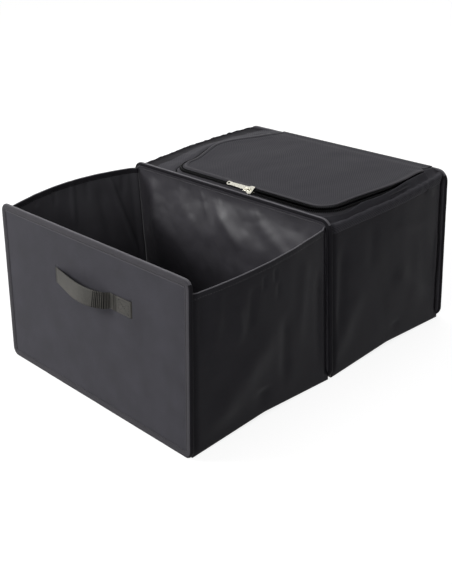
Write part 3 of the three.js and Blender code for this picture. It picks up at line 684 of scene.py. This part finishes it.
def addGusset(roomName, side):
    room = rooms[roomName]
    tops = room["tops"][side]

    def place(t, v):
        return gussetPlace(roomName, side, t, lerp(creaseHeight(t) + 0.6, through(tops, t) - 0.4, v))

    name = roomName + side.capitalize() + "Gusset"
    depth = room["end"](box["height"] / 2) - room["start"](box["height"] / 2)
    gusset = addGrid(name, spread(gussetLook["columns"]), spread(gussetLook["rows"]), place,
                     lambda t, v: (t * depth, v * gussetLook["flatHeight"]), material=gussetCloth,
                     body="root", slot="gusset_cloth", stands=(f"{roomName}_{side}_gusset",))
    if side == "left":
        gusset.data.flip_normals()
    thicken(gusset, gussetLook["thickness"], inside=gussetLining)
    through(tops, 0.5) * mm


for roomName in rooms:
    for side in ("left", "right"):
        addGusset(roomName, side)

# Hems: tape folded over the open compartment's gusset tops, with one row of stitches
hemLook = {
    "length": 286, "steps": 110,
    "stitchDepth": 7.4, "stitchOut": 1.15, "stitchSteps": (90, 0.02, 0.98),  # how many, from and to
    "pucker": 0.12, "puckerPitch": 8.3,  # the tape draws in a little between every other stitch
    # out from the gusset, and up from its top
    "section": [(-1.2, -9), (-1.35, -8.4), (-1.15, -7.6), (-1.4, -6), (-1.4, 0.1), (-1.0, 0.8), (0, 1.1),
                (1.0, 0.8), (1.4, 0.1), (1.4, -6), (1.15, -7.6), (1.35, -8.4), (1.2, -9), (0.75, -9),
                (0.75, 0), (-0.75, 0), (-0.75, -9)],
    "paintedHighlight": (4, 5, 6, 7),  # sides of the section on its top, painted pale: a painted highlight
}


def addHem(side):
    tops = rooms["front"]["tops"][side]
    rings, ringUvs = [], []
    for t in spread(hemLook["steps"]):
        top = through(tops, t)
        ring = []
        for x, z in hemLook["section"]:
            px, py, pz = gussetPlace("front", side, t, top + z)
            turns = t * hemLook["length"] / hemLook["puckerPitch"]
            pucker = hemLook["pucker"] * math.sin(turns * 2 * math.pi) * ease(-2, -8, z)
            ring.append((px + x * (1 + pucker), py, pz))
        rings.append(ring)
        ringUvs.append([(t * hemLook["length"], 2 * z + x) for x, z in hemLook["section"]])
    name = "front" + side.capitalize() + "Hem"
    hem = addSweep(name, rings, ringUvs, material=gussetCloth, body="root", slot="binding",
                   stands=(f"front_{side}_hem",))
    # painted highlight: the hem's top in the paler tape
    faceSides(hem, hemLook["paintedHighlight"], len(hemLook["section"]), paintedHighlightTape)
    lines = []
    for out in (-1, 1):
        line = []
        for t in spread(*hemLook["stitchSteps"]):
            x, y, z = gussetPlace("front", side, t, through(tops, t) - hemLook["stitchDepth"])
            line.append(((x + out * hemLook["stitchOut"], y, z), (out, 0, 0)))
        lines.append(line)
    sewLines(name + "Stitches", lines, "root", "binding")


addHem("left")
addHem("right")
print("gussets and hems made")

# Floors: a creased card between two cloths
floorLook = {
    "half": 233.1, "cloth": 0.8, "soft": 0.5,
    # each cloth's height over the ground, its material, slot and solid
    "layers": {"Cloth": (0.4, oxfordCloth, "outer_cloth", "cloth"),
               "Lining": (4.2, coatedCloth, "lining", "lining")},
}


def addFloor(roomName, label):
    low, material, slot, node = floorLook["layers"][label]
    room = rooms[roomName]

    def place(x, t):
        soft = 0.0
        if label == "Lining":
            wave = 0.5 + 0.5 * ripple(x / 50, t * 5, 9)
            soft = floorLook["soft"] * wave * ease(0, 0.08, t) * ease(1, 0.92, t)
        z = low + creaseHeight(t) + soft
        return (x, lerp(room["start"](z), room["end"](z), t), z)

    depth = room["end"](4) - room["start"](4)
    floor = addGrid(roomName + "Floor" + label, spread(60, -floorLook["half"], floorLook["half"]), spread(40),
                    place, lambda x, t: (x, t * depth), material=material, body="root", slot=slot,
                    stands=(f"{roomName}_floor_{node}",))
    thicken(floor, floorLook["cloth"])


for roomName in rooms:
    for label in floorLook["layers"]:
        addFloor(roomName, label)
for name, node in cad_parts.items():
    if name.endswith("board"):
        node.data.materials.clear()
        node.data.materials.append(greyBoard)
print("floors made")


# Handles: ribbed webbing through two slits, sewn flat at both ends and bowed between
strapFlat = box["skin"] + 0.3 + handleLook["webbing"]  # its outer face where it lies on the panel


def strapLine():  # x and out, from inside the left slit to inside the right one
    left, right = handleLook["ends"]
    flat = strapFlat - handleLook["webbing"] / 2
    corner = handleLook["corner"]  # the webbing's own bend where it comes out of the slit
    steps = handleLook["steps"]

    def bend(end, way, angles):
        return [(end + way * corner * (1 - math.cos(a)), flat - corner * (1 - math.sin(a))) for a in angles]

    start, end = left + handleLook["flats"][0], right - handleLook["flats"][1]
    marks = [(left, -1.2), (left, flat - corner)] + bend(left, 1, spread(5, 0.25, math.pi / 2))
    marks += [(x, flat) for x in spread(steps["left"], left + corner + 1, start - 1)]
    for t in spread(steps["bow"]):
        rise = math.sin(math.pi * t ** handleLook["skew"]) ** handleLook["full"] if 0 < t < 1 else 0.0
        rise *= ease(0, 0.05, t) * ease(1, 0.95, t)
        marks.append((lerp(start, end, t), flat + handleLook["bow"] * rise))
    marks += [(x, flat) for x in spread(steps["patch"], end + 1, right - corner - 1)]
    marks += bend(right, -1, spread(5, math.pi / 2, 0.25))
    return marks + [(right, flat - corner), (right, -1.2)]


def addHandle(name, wallName, outward, node):
    wall, line = walls[wallName], strapLine()
    level = handleLook["middle"] / math.cos(math.radians(wall["lean"]))
    half = handleLook["height"] / 2
    columns = spread(12, -1, 1)
    rings, ringUvs, grooves = [], [], []
    flat = strapFlat - handleLook["webbing"] / 2
    ribStart, ribEnd = handleLook["ribs"]
    for i, ((x, out), along) in enumerate(zip(line, walked(line))):
        way = (Vector(line[min(i + 1, len(line) - 1)]) - Vector(line[max(i - 1, 0)])).normalized()
        side = Vector((-way.y, way.x))
        # ribs show where the strap turns back to the panel
        strong = ease(ribStart - 6, ribStart + 2, x) * ease(ribEnd + 4, ribEnd - 4, x)
        wave = math.cos(along / handleLook["ribPitch"] * 2 * math.pi)
        rib = handleLook["ribDepth"] * (0.25 + 0.75 * strong) * (0.5 + 0.5 * wave)
        grooves.append(strong > 0.5 and wave > -0.2)
        tilt = handleLook["tilt"] * max(out - flat, 0)  # the bow's lower edge stands out further
        ring, uvRing = [], []
        for face in (1, -1):
            for c in columns[::face]:
                edge = 1 - 0.35 * ease(0.86, 1.0, abs(c))
                thick = face * (handleLook["webbing"] / 2 * edge - rib)
                p = Vector((x, out - tilt * c)) + side * thick
                ring.append(onWall(wall, p.x, outward * p.y, level + c * half))
                uvRing.append((along, c * half + (0 if face > 0 else 40)))
        rings.append(ring)
        ringUvs.append(uvRing)
    strap = addSweep(name, rings, ringUvs, material=webbingWeave, body="root", slot="webbing", stands=(node,))
    sides = len(rings[0])
    faceSides(strap, range(sides), sides, webbingGroove, lambda ring: grooves[ring])
    # the sewn square with its cross
    low, high = (handleLook["ends"][1] - inset for inset in handleLook["patch"])
    reach = half - handleLook["patchEdge"]
    corners = [(low, -reach), (high, -reach), (high, reach), (low, reach), (low, -reach)]
    seams = list(zip(corners, corners[1:])) + [(corners[0], corners[2]), (corners[3], corners[1])]
    normal = wallNormal(wall, outward)
    lines = [[(onWall(wall, lerp(ax, bx, k / 8), outward * strapFlat, level + lerp(az, bz, k / 8)), normal)
              for k in range(9)] for (ax, az), (bx, bz) in seams]
    sewLines(name + "Stitches", lines, "root", "webbing")


addHandle("frontHandle", "frontPanel", -1, "front_handle")
addHandle("rearHandle", "rearPanel", 1, "rear_handle")
print("handles made")

# The zip's route, seen from above: left run, corner, front run, corner, right run
zipLook = {
    "height": 283, "slope": math.radians(35), "corner": 40, "front": 11.56, "tapeEnd": 34,
    "boxWidth": 10.26, "lidWidth": 7, "root": 1.6, "tapeLow": -2.1, "tapeTop": -1.3,
    "sliderX": 50, "parting": 2.8,  # how far each row stands off in front of the slider
    "teethStart": 8, "toothPitch": 3.0, "toothGap": 0.09, "firstTooth": 0.75,
    # a tooth: narrow neck, wider head past the middle of the zip: place across, width and height
    "tooth": ((3.5, 0.75, 0.8), (1.6, 0.6, 0.9), (0.3, 0.95, 1.0), (-0.9, 0.95, 0.95), (-1.3, 0.6, 0.6)),
    "toothSection": ((-1, -1), (1, -1), (1, 0.4), (0.5, 1), (-0.5, 1), (-1, 0.4)),  # with a rounded top
    "steps": {"run": 140, "corner": 32, "front": 80}, "tapeStep": 4,
    "beside": 40, "closes": (110, 220),  # past a corner by this it is a side run; where cloth closes over it
}
runs = {"left": {"edge": 148, "swell": 34}, "right": {"edge": 219, "swell": 7}}
slopeCos, slopeSin = math.cos(zipLook["slope"]), math.sin(zipLook["slope"])
cornerMiddle = zipLook["front"] + zipLook["corner"]
runLength = box["hingeLine"] - zipLook["tapeEnd"] - cornerMiddle


def runSide(side, y):
    share = min(max((y - cornerMiddle) / runLength, 0), 1)
    return runs[side]["edge"] + runs[side]["swell"] * math.sin(math.pi * share) ** 2


def zipRoute():
    last = box["hingeLine"] - zipLook["tapeEnd"]
    radius, steps = zipLook["corner"], zipLook["steps"]
    leftX, rightX = -runs["left"]["edge"] + radius, runs["right"]["edge"] - radius
    turns = spread(steps["corner"], 0, math.pi / 2)[1:]
    points = [(-runSide("left", y), y) for y in spread(steps["run"], last, cornerMiddle)]
    points += [(leftX - radius * math.cos(a), cornerMiddle - radius * math.sin(a)) for a in turns]
    points += [(x, zipLook["front"]) for x in spread(steps["front"], leftX, rightX)[1:]]
    points += [(rightX + radius * math.sin(a), cornerMiddle - radius * math.cos(a)) for a in turns]
    points += [(runSide("right", y), y) for y in spread(steps["run"], cornerMiddle, last)[1:]]
    return [Vector(p) for p in points]


route = zipRoute()
routeAt = walked(route)
routeLength = routeAt[-1]
frontStart = routeAt[zipLook["steps"]["run"] + zipLook["steps"]["corner"]]
sliderAlong = frontStart + zipLook["sliderX"] + runs["left"]["edge"] - zipLook["corner"]


def onRoute(along):
    along = min(max(along, 0.0), routeLength - 1e-6)
    low = bisect.bisect_right(routeAt, along) - 1
    return route[low].lerp(route[low + 1], (along - routeAt[low]) / (routeAt[low + 1] - routeAt[low]))


def zipPoint(along, across, above):
    place = onRoute(along)
    way = (onRoute(along + 0.6) - onRoute(along - 0.6)).normalized()
    side = across * slopeCos - above * slopeSin
    return (place.x - way.y * side, place.y + way.x * side,
            zipLook["height"] + across * slopeSin + above * slopeCos)


def parted(along):  # closed behind the slider, open in front of its post
    return zipLook["parting"] * ease(sliderAlong - 2, sliderAlong + 3, along)


zipAlongs = spread(int(routeLength / zipLook["tapeStep"]), 0, routeLength)


def addZipTape(name, side, width, body, node):
    rings, ringUvs = [], []
    for along in zipAlongs:
        near = zipLook["root"] + parted(along)
        low, top = zipLook["tapeLow"], zipLook["tapeTop"]
        section = [(near, low), (width, low), (width, top), (near, top)]
        rings.append([zipPoint(along, side * across, above) for across, above in section])
        ringUvs.append([(along, across) for across, _ in section])
    addSweep(name, rings, ringUvs, material=zipTapeCloth, body=body, slot="zip_tape", stands=(node,),
             smooth=False)


def addTeeth(name, side, shift, body, node):
    points, faces, uvs = [], [], []
    half = zipLook["toothPitch"] / 4 - zipLook["toothGap"]
    rows, corners = len(zipLook["tooth"]), len(zipLook["toothSection"])
    along = zipLook["teethStart"] + zipLook["firstTooth"] + shift
    while along < routeLength - zipLook["teethStart"]:
        gap = parted(along)
        base = len(points)
        for across, wide, high in zipLook["tooth"]:
            for dx, dz in zipLook["toothSection"]:
                points.append(zipPoint(along + dx * half * wide, side * (across + gap), dz * high))
                uvs.append((0, 0))
        for ring in range(rows - 1):
            for k in range(corners):
                a, b = base + ring * corners + k, base + ring * corners + (k + 1) % corners
                face = (a, b, b + corners, a + corners)
                faces.append(face if side > 0 else (face[0],) + face[:0:-1])
        first = tuple(range(base, base + corners))
        last = tuple(k + (rows - 1) * corners for k in first)
        faces += [first[::-1], last] if side > 0 else [first, last[::-1]]
        along += zipLook["toothPitch"]
    addPiece(name, points, faces, uvs, acetal, body, "zip_teeth", stands=(node,), smooth=False)


addZipTape("boxZipTape", -1, zipLook["boxWidth"], "root", "box_zip_tape")
addZipTape("lidZipTape", 1, zipLook["lidWidth"], "lid", "lid_zip_tape")
addTeeth("boxZipTeeth", -1, 0, "root", "box_zip_teeth")
addTeeth("lidZipTeeth", 1, zipLook["toothPitch"] / 2, "lid", "lid_zip_teeth")


# Slider and pull: the same metal pieces with their edges rounded over
def roundedCopy(name, node, body, width):
    piece = bpy.data.objects.new(name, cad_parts[node].data.copy())
    bpy.context.scene.collection.objects.link(piece)
    mesh = bmesh.new()
    mesh.from_mesh(piece.data)
    bmesh.ops.remove_doubles(mesh, verts=mesh.verts, dist=2e-6)
    bmesh.ops.dissolve_limit(mesh, angle_limit=math.radians(3), verts=mesh.verts, edges=mesh.edges)
    mesh.to_mesh(piece.data)
    mesh.free()
    piece.data.polygons.foreach_set("use_smooth", [True] * len(piece.data.polygons))
    piece.data.materials.clear()
    piece.data.materials.append(nickel)
    bevel = piece.modifiers.new("edges", "BEVEL")
    bevel.width = width * mm
    bevel.segments = 3
    bevel.limit_method = "ANGLE"
    bevel.angle_limit = math.radians(35)
    bevel.harden_normals = True
    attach(piece, body)
    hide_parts(node)


roundedCopy("zipSlider", "zip_slider", "slider", 0.3)
roundedCopy("zipPull", "zip_pull", "pull", 0.35)
print("zip made")

# Lid: level with the zip on three sides, thin at its sewn rear edge. Beside the zip's runs its bound lip
# stands up a little and covers half of the zip tape.
lidLook = {
    "lip": 8.14, "level": 285.62, "rear": 282.9, "crown": 3, "thickness": 1.2, "wave": 1.0, "flatWidth": 380,
    "lift": 1.2, "liftEnd": (258, 244), "liftReach": (30, 6),  # the lip's rise: where it ends, how far in
    "thinRear": 11, "drop": 20,  # the thin strip at the rear, and the slope down to it
    "liningInset": 6, "liningDown": 1.3, "liningThickness": 0.8,
    # how far the hem's nose stays from the middle of the zip: in front, beside its runs, and past its ends
    "frontLip": 6.7, "cover": 5.2, "overlap": -0.8, "rearLip": 8.4,
    # the lip's bound edge: in from its nose, and up
    "hem": [(8, -1.0), (7.4, -1.1), (4, -1.1), (1.2, -1.0), (0.3, -0.6), (0, 0), (0.3, 0.8), (1.2, 1.4),
            (3.4, 1.5), (5, 1.2), (5.9, 0.95), (6.8, 1.2), (7.6, 1.3), (8, 0.95), (8, 0.7), (1.6, 0.7),
            (1.6, -0.7), (8, -0.7)],
    "hemPaintedHighlight": (3, 4, 5, 6, 7),  # its nose, painted pale in binding tape: a painted highlight
    "hemStitch": 5.9, "hemSoft": 0.3,
}

# Borders: the strips of cloth between the gusset tops and the zip
borderLook = {
    "ease": 0.9, "thickness": 0.8, "soft": 1.3, "pucker": 1.1, "lip": 0.9,
    # how far they reach over the zip, and how high: beside its runs, and where it closes towards its ends
    "cover": 5.4, "coverHeight": 280.3, "overlap": 1.6, "overlapHeight": 283.8,
    "closeFrom": 258.5, "closeTo": 264, "patchHeight": (285.0, 281.0),  # the folded patch past the zip's end
    # the roll over the gusset's top, from its outside: out from the gusset's middle, and up from its top
    "roll": [(0.5, -13), (1.5, -9), (2.4, -5), (2.7, -1.6), (1.8, 0.5), (0.2, 1.6), (-2.0, 1.8), (-4.6, 1.0),
             (-8.0, 0.2)],
    "squeezed": 14,  # the roll's inside is squeezed where a border is narrower than this
    "columns": 16, "flatColumn": 4,  # from the roll to the zip, and how wide each is laid flat
    "bound": 13,  # columns painted dark on the left: painted shade along the gusset's top
}


def besideFront(y):  # 0 at the zip's front, 1 along its side runs
    return ease(cornerMiddle, cornerMiddle + zipLook["beside"], y)


def runClosed(y):  # 1 where the cloth on both sides has closed over the zip, towards its ends
    return ease(*zipLook["closes"], y)


def besideZip(side, y, inset):
    sign = -1 if side == "left" else 1
    if y >= cornerMiddle:
        slope = (runSide(side, y + 1) - runSide(side, y - 1)) / 2
        return sign * (runSide(side, y) - inset * math.hypot(1, slope))
    radius = zipLook["corner"] - inset
    rise = min(cornerMiddle - y, radius)
    return sign * (runs[side]["edge"] - zipLook["corner"] + math.sqrt(radius * radius - rise * rise))


def lidHeight(x, y):
    left, right = besideZip("left", y, lidLook["lip"]), besideZip("right", y, lidLook["lip"])
    across = min(max((x - left) / (right - left), 0), 1)
    front, back = zipLook["front"] + lidLook["lip"], box["hingeLine"] - lidLook["thinRear"]
    along = min(max((y - front) / (back - lidLook["drop"] - front), 0), 1)
    crown = lidLook["crown"] * math.sin(math.pi * across) * math.sin(math.pi * along)
    edge = ease(0, 0.12, across) * ease(1, 0.88, across) * ease(0, 0.1, along) * ease(1, 0.92, along)
    wave = lidLook["wave"] * (ripple(x / 60, y / 90, 11) + 0.5 * ripple(x / 24, y / 40, 12)) * edge
    lip = lidLook["lift"] * (besideFront(y) * ease(*lidLook["liftEnd"], y))
    lip *= max(ease(*lidLook["liftReach"], x - left), ease(*lidLook["liftReach"], right - x))
    return lerp(lidLook["level"], lidLook["rear"], ease(back - lidLook["drop"], back, y)) + crown + wave + lip


def lidRows(inset, end):
    radius = zipLook["corner"] - inset
    rows = [cornerMiddle - radius * math.cos(a) for a in spread(14, 0, math.pi / 2)]
    return rows + spread(56, cornerMiddle, end)[1:]


def addLidSheet(name, inset, end, below, thickness, material, slot, node):
    def place(v, y):
        x = lerp(besideZip("left", y, inset), besideZip("right", y, inset), v)
        return (x, y, lidHeight(x, y) - below)

    piece = addGrid(name, spread(90), lidRows(inset, end), place,
                    lambda v, y: (v * lidLook["flatWidth"], y), material=material, body="lid", slot=slot,
                    stands=(node,))
    thicken(piece, thickness)
    return piece


lidCloth = addLidSheet("lidCloth", lidLook["lip"], box["hingeLine"], 0, lidLook["thickness"], lidTwill,
                       "outer_cloth", "lid_cloth")
lidLining = addLidSheet("lidLining", lidLook["lip"] + lidLook["liningInset"],
                        box["hingeLine"] - lidLook["thinRear"] + 0.3, lidLook["liningDown"],
                        lidLook["liningThickness"], coatedCloth, "lining", "lid_lining")


def lidEdge():  # round the lip: place, the way in, and how much wider the hem is there
    edge = []
    for side, sign in (("left", -1), ("right", 1)):
        half = []
        for y in spread(84, cornerMiddle, box["hingeLine"] - lidLook["thinRear"] - 1):
            lip = lerp(lidLook["frontLip"], lidLook["cover"], besideFront(y))
            lip = lerp(lip, lidLook["overlap"], runClosed(y))
            lip = lerp(lip, lidLook["rearLip"], ease(borderLook["closeFrom"], borderLook["closeTo"], y))
            half.append((besideZip(side, y, lip), y, -sign, 0, max(lidLook["cover"] - lip, 0)))
        radius = zipLook["corner"] - lidLook["frontLip"]
        centre = sign * (runs[side]["edge"] - zipLook["corner"])
        for a in spread(20, 0, math.pi / 2)[1:]:
            half.insert(0, (centre + sign * radius * math.cos(a), cornerMiddle - radius * math.sin(a),
                            -sign * math.cos(a), math.sin(a), 0))
        if side == "left":
            edge = half[::-1]
        else:
            front = [(x, half[0][1], 0, 1, 0) for x in spread(80, edge[-1][0], half[0][0])[1:-1]]
            edge += front + half
    return edge


def addLidHem():
    rings, ringUvs, line = [], [], []
    edge = lidEdge()
    for (x, y, inX, inY, wider), along in zip(edge, walked([spot[:2] for spot in edge])):
        soft = lidLook["hemSoft"] * ripple(along / 14, 3, 21) * ease(0, 30, along)
        ring = []
        for inward, up in lidLook["hem"]:
            reach = inward + wider * ease(2, 5, inward)
            px, py = x + inX * reach, y + inY * reach
            ring.append((px, py, lidHeight(px, py) + up + soft * ease(8, 0, inward)))
        rings.append(ring)
        ringUvs.append([(along, 1.5 * inward + up) for inward, up in lidLook["hem"]])
        deep = lidLook["hemStitch"] + wider
        px, py = x + inX * deep, y + inY * deep
        line.append(((px, py, lidHeight(px, py) + 1.0), (0, 0, 1)))
    hem = addSweep("lidHem", rings, ringUvs, material=lidTwill, body="lid", slot="outer_cloth")
    # painted highlight: the hem's nose in the paler binding tape
    faceSides(hem, lidLook["hemPaintedHighlight"], len(lidLook["hem"]), bindingTape)
    sewLines("lidHemStitches", [line], "lid", "outer_cloth")


addLidHem()
# the outer edge of the zip's tape, with ease for the border to pass it
tapeEdge = -(zipLook["boxWidth"] * slopeCos + zipLook["tapeTop"] * slopeSin + 0.3 + borderLook["ease"])


# the edge beside the zip: over the tape on the side runs, then up to the lid's edge
def borderInner(side, y):
    height = zipLook["height"] - zipLook["boxWidth"] * slopeSin - 1.7 * slopeCos
    over = besideFront(y)
    inset = lerp(lerp(tapeEdge, -borderLook["cover"], over), -borderLook["overlap"], runClosed(y))
    height = lerp(lerp(height, borderLook["coverHeight"], over), borderLook["overlapHeight"], runClosed(y))
    closing = ease(borderLook["closeFrom"], borderLook["closeTo"], y)
    high, low = borderLook["patchHeight"]
    patch = lerp(high, low, ease(borderLook["closeFrom"], box["hingeLine"], y))
    return besideZip(side, y, lerp(inset, lidLook["lip"] - 0.7, closing)), lerp(height, patch, closing)


def borderPlace(side, y, v):
    sign = -1 if side == "left" else 1
    roll = borderLook["roll"]
    t = (y - box["seam"]) / (box["hingeLine"] - box["seam"])
    top = through(rooms["rear"]["tops"][side], t)
    middleX = gussetPlace("rear", side, t, top)[0]
    innerX, innerZ = borderInner(side, y)
    width = abs(innerX - middleX)
    squeeze = min(1.0, width / borderLook["squeezed"])
    ends = ease(0, 0.05, t) * ease(1, 0.95, t)
    if v < len(roll):
        out, rise = roll[int(v)]
        puff = borderLook["pucker"] * ripple(y / 8.5, v / 3, 31) * ends * ease(0, 3, v)
        out = out * squeeze if out < 0 else out
        return (middleX + sign * (out + puff), y, top + rise + puff)
    share = (v - len(roll) + 1) / borderLook["columns"]
    startX = middleX + sign * roll[-1][0] * squeeze
    soft = borderLook["soft"] * (ripple(y / 26, share * 2, 14) + 0.5 * ripple(y / 11, share * 3, 15))
    lip = borderLook["lip"] * math.sin(math.pi * ease(0.6, 1.0, share))  # the hem stands up a little
    height = lerp(top + roll[-1][1], innerZ, share * share * (3 - 2 * share))
    height += soft * math.sin(math.pi * share) * ends + lip * ends * squeeze
    return (lerp(startX, innerX, share), y, height)


def borderRows():
    radius = zipLook["corner"] - tapeEdge
    rows = [cornerMiddle - radius * math.cos(a) for a in spread(20, 0, math.pi / 2)]
    rows = [max(y, box["seam"]) for y in rows] + spread(110, cornerMiddle, box["hingeLine"])[1:]
    return [y for i, y in enumerate(rows) if i == 0 or y > rows[i - 1] + 0.01]


for side, wide, area in (("left", 0.125, 0.0235), ("right", 0.09, 0.0125)):
    columns = len(borderLook["roll"]) + borderLook["columns"]
    piece = addGrid(side + "Border", range(columns), borderRows(),
                    lambda v, y, side=side: borderPlace(side, y, v),
                    lambda v, y: (v * borderLook["flatColumn"], y),
                    material=lidTwill, body="root", slot="outer_cloth",
                    stands=(side + "_border", side + "_zip_end"))
    if side == "left":  # here the outer columns are painted dark: painted shade along the gusset's top
        piece.data.materials.append(paintedShadeTape)
        for index, polygon in enumerate(piece.data.polygons):
            polygon.material_index = 1 if index % (columns - 1) < borderLook["bound"] else 0
    thicken(piece, borderLook["thickness"])
print("lid and borders made")

# Studio: white floor that keeps a faint shadow, soft light from the front left and above
studio = {
    "ambient": 0.2, "floorColour": "#a4a4a4", "floorGlow": 0.85, "floorSize": 12,
    # each lamp's power, its place and what it faces in metres, and its size
    "lamps": {
        "keyLight": (25, (0.9, -3.0, 1.65), (0.1, 0, 0.2), 1.2),
        "sideLight": (40, (-1.9, -1.8, 1.55), (0, 0, 0.2), 1.1),
        "topLight": (15, (-0.4, 0.7, 2.6), (0, 0, 0.15), 1.8),
    },
}
floorMaterial, floorTree, floorShader = newMaterial("whiteStudioFloor", {
    "Base Color": linear(studio["floorColour"]), "Roughness": 0.9,
})


def whereSeen(tree):  # 1 for the camera and for reflections, 0 for the light that falls on things
    rays = addNode(tree, "ShaderNodeLightPath")
    return addNode(tree, "ShaderNodeMath", {"operation": "MAXIMUM"},
                   links={0: rays.outputs["Is Camera Ray"], 1: rays.outputs["Is Glossy Ray"]}).outputs[0]


glow = addNode(floorTree, "ShaderNodeMath", {"operation": "MULTIPLY"}, {1: studio["floorGlow"]},
               {0: whereSeen(floorTree)})
floorShader.inputs["Emission Color"].default_value = (1, 1, 1, 1)
floorTree.links.new(glow.outputs[0], floorShader.inputs["Emission Strength"])
bpy.ops.mesh.primitive_plane_add(size=studio["floorSize"], location=(0, 0, 0))
studioFloor = bpy.context.object
studioFloor.name = "studioFloor"
studioFloor.data.materials.append(floorMaterial)

world = bpy.data.worlds.new("studioWorld")
bpy.context.scene.world = world
world.use_nodes = True
sky = world.node_tree
strength = addNode(sky, "ShaderNodeMapRange", inputs={"To Min": studio["ambient"], "To Max": 1.0},
                   links={"Value": whereSeen(sky)})
background = sky.nodes["Background"]
background.inputs["Color"].default_value = (1, 1, 1, 1)
sky.links.new(strength.outputs["Result"], background.inputs["Strength"])

for name, (power, place, target, size) in studio["lamps"].items():
    data = bpy.data.lights.new(name, "AREA")
    data.energy = power
    data.shape = "DISK"
    data.size = size
    lamp = bpy.data.objects.new(name, data)
    lamp.location = place
    lamp.rotation_euler = (Vector(target) - Vector(place)).to_track_quat("-Z", "Y").to_euler()
    bpy.context.scene.collection.objects.link(lamp)

# Camera: the photograph's view
view = {
    "place": (1124.43, -1013.16, 809.15), "azimuth": 48.1914, "elevation": 25.576, "roll": -3.2177,
    "lens": 58.41, "sensor": 36,
}
az, el, roll = (math.radians(view[key]) for key in ("azimuth", "elevation", "roll"))
forward = Vector((-math.sin(az) * math.cos(el), math.cos(az) * math.cos(el), -math.sin(el)))
right = Vector((math.cos(az), math.sin(az), 0))
up = right.cross(forward)
turnedRight = math.cos(roll) * right + math.sin(roll) * up
turnedUp = -math.sin(roll) * right + math.cos(roll) * up
cameraData = bpy.data.cameras.new("camera")
cameraData.lens = view["lens"]
cameraData.sensor_width = view["sensor"]
camera = bpy.data.objects.new("camera", cameraData)
bpy.context.scene.collection.objects.link(camera)
axes = Matrix((turnedRight, turnedUp, -forward)).transposed().to_4x4()
camera.matrix_world = Matrix.Translation(at(*view["place"])) @ axes
bpy.context.scene.camera = camera
bpy.context.scene.view_settings.view_transform = "Standard"

print("done")
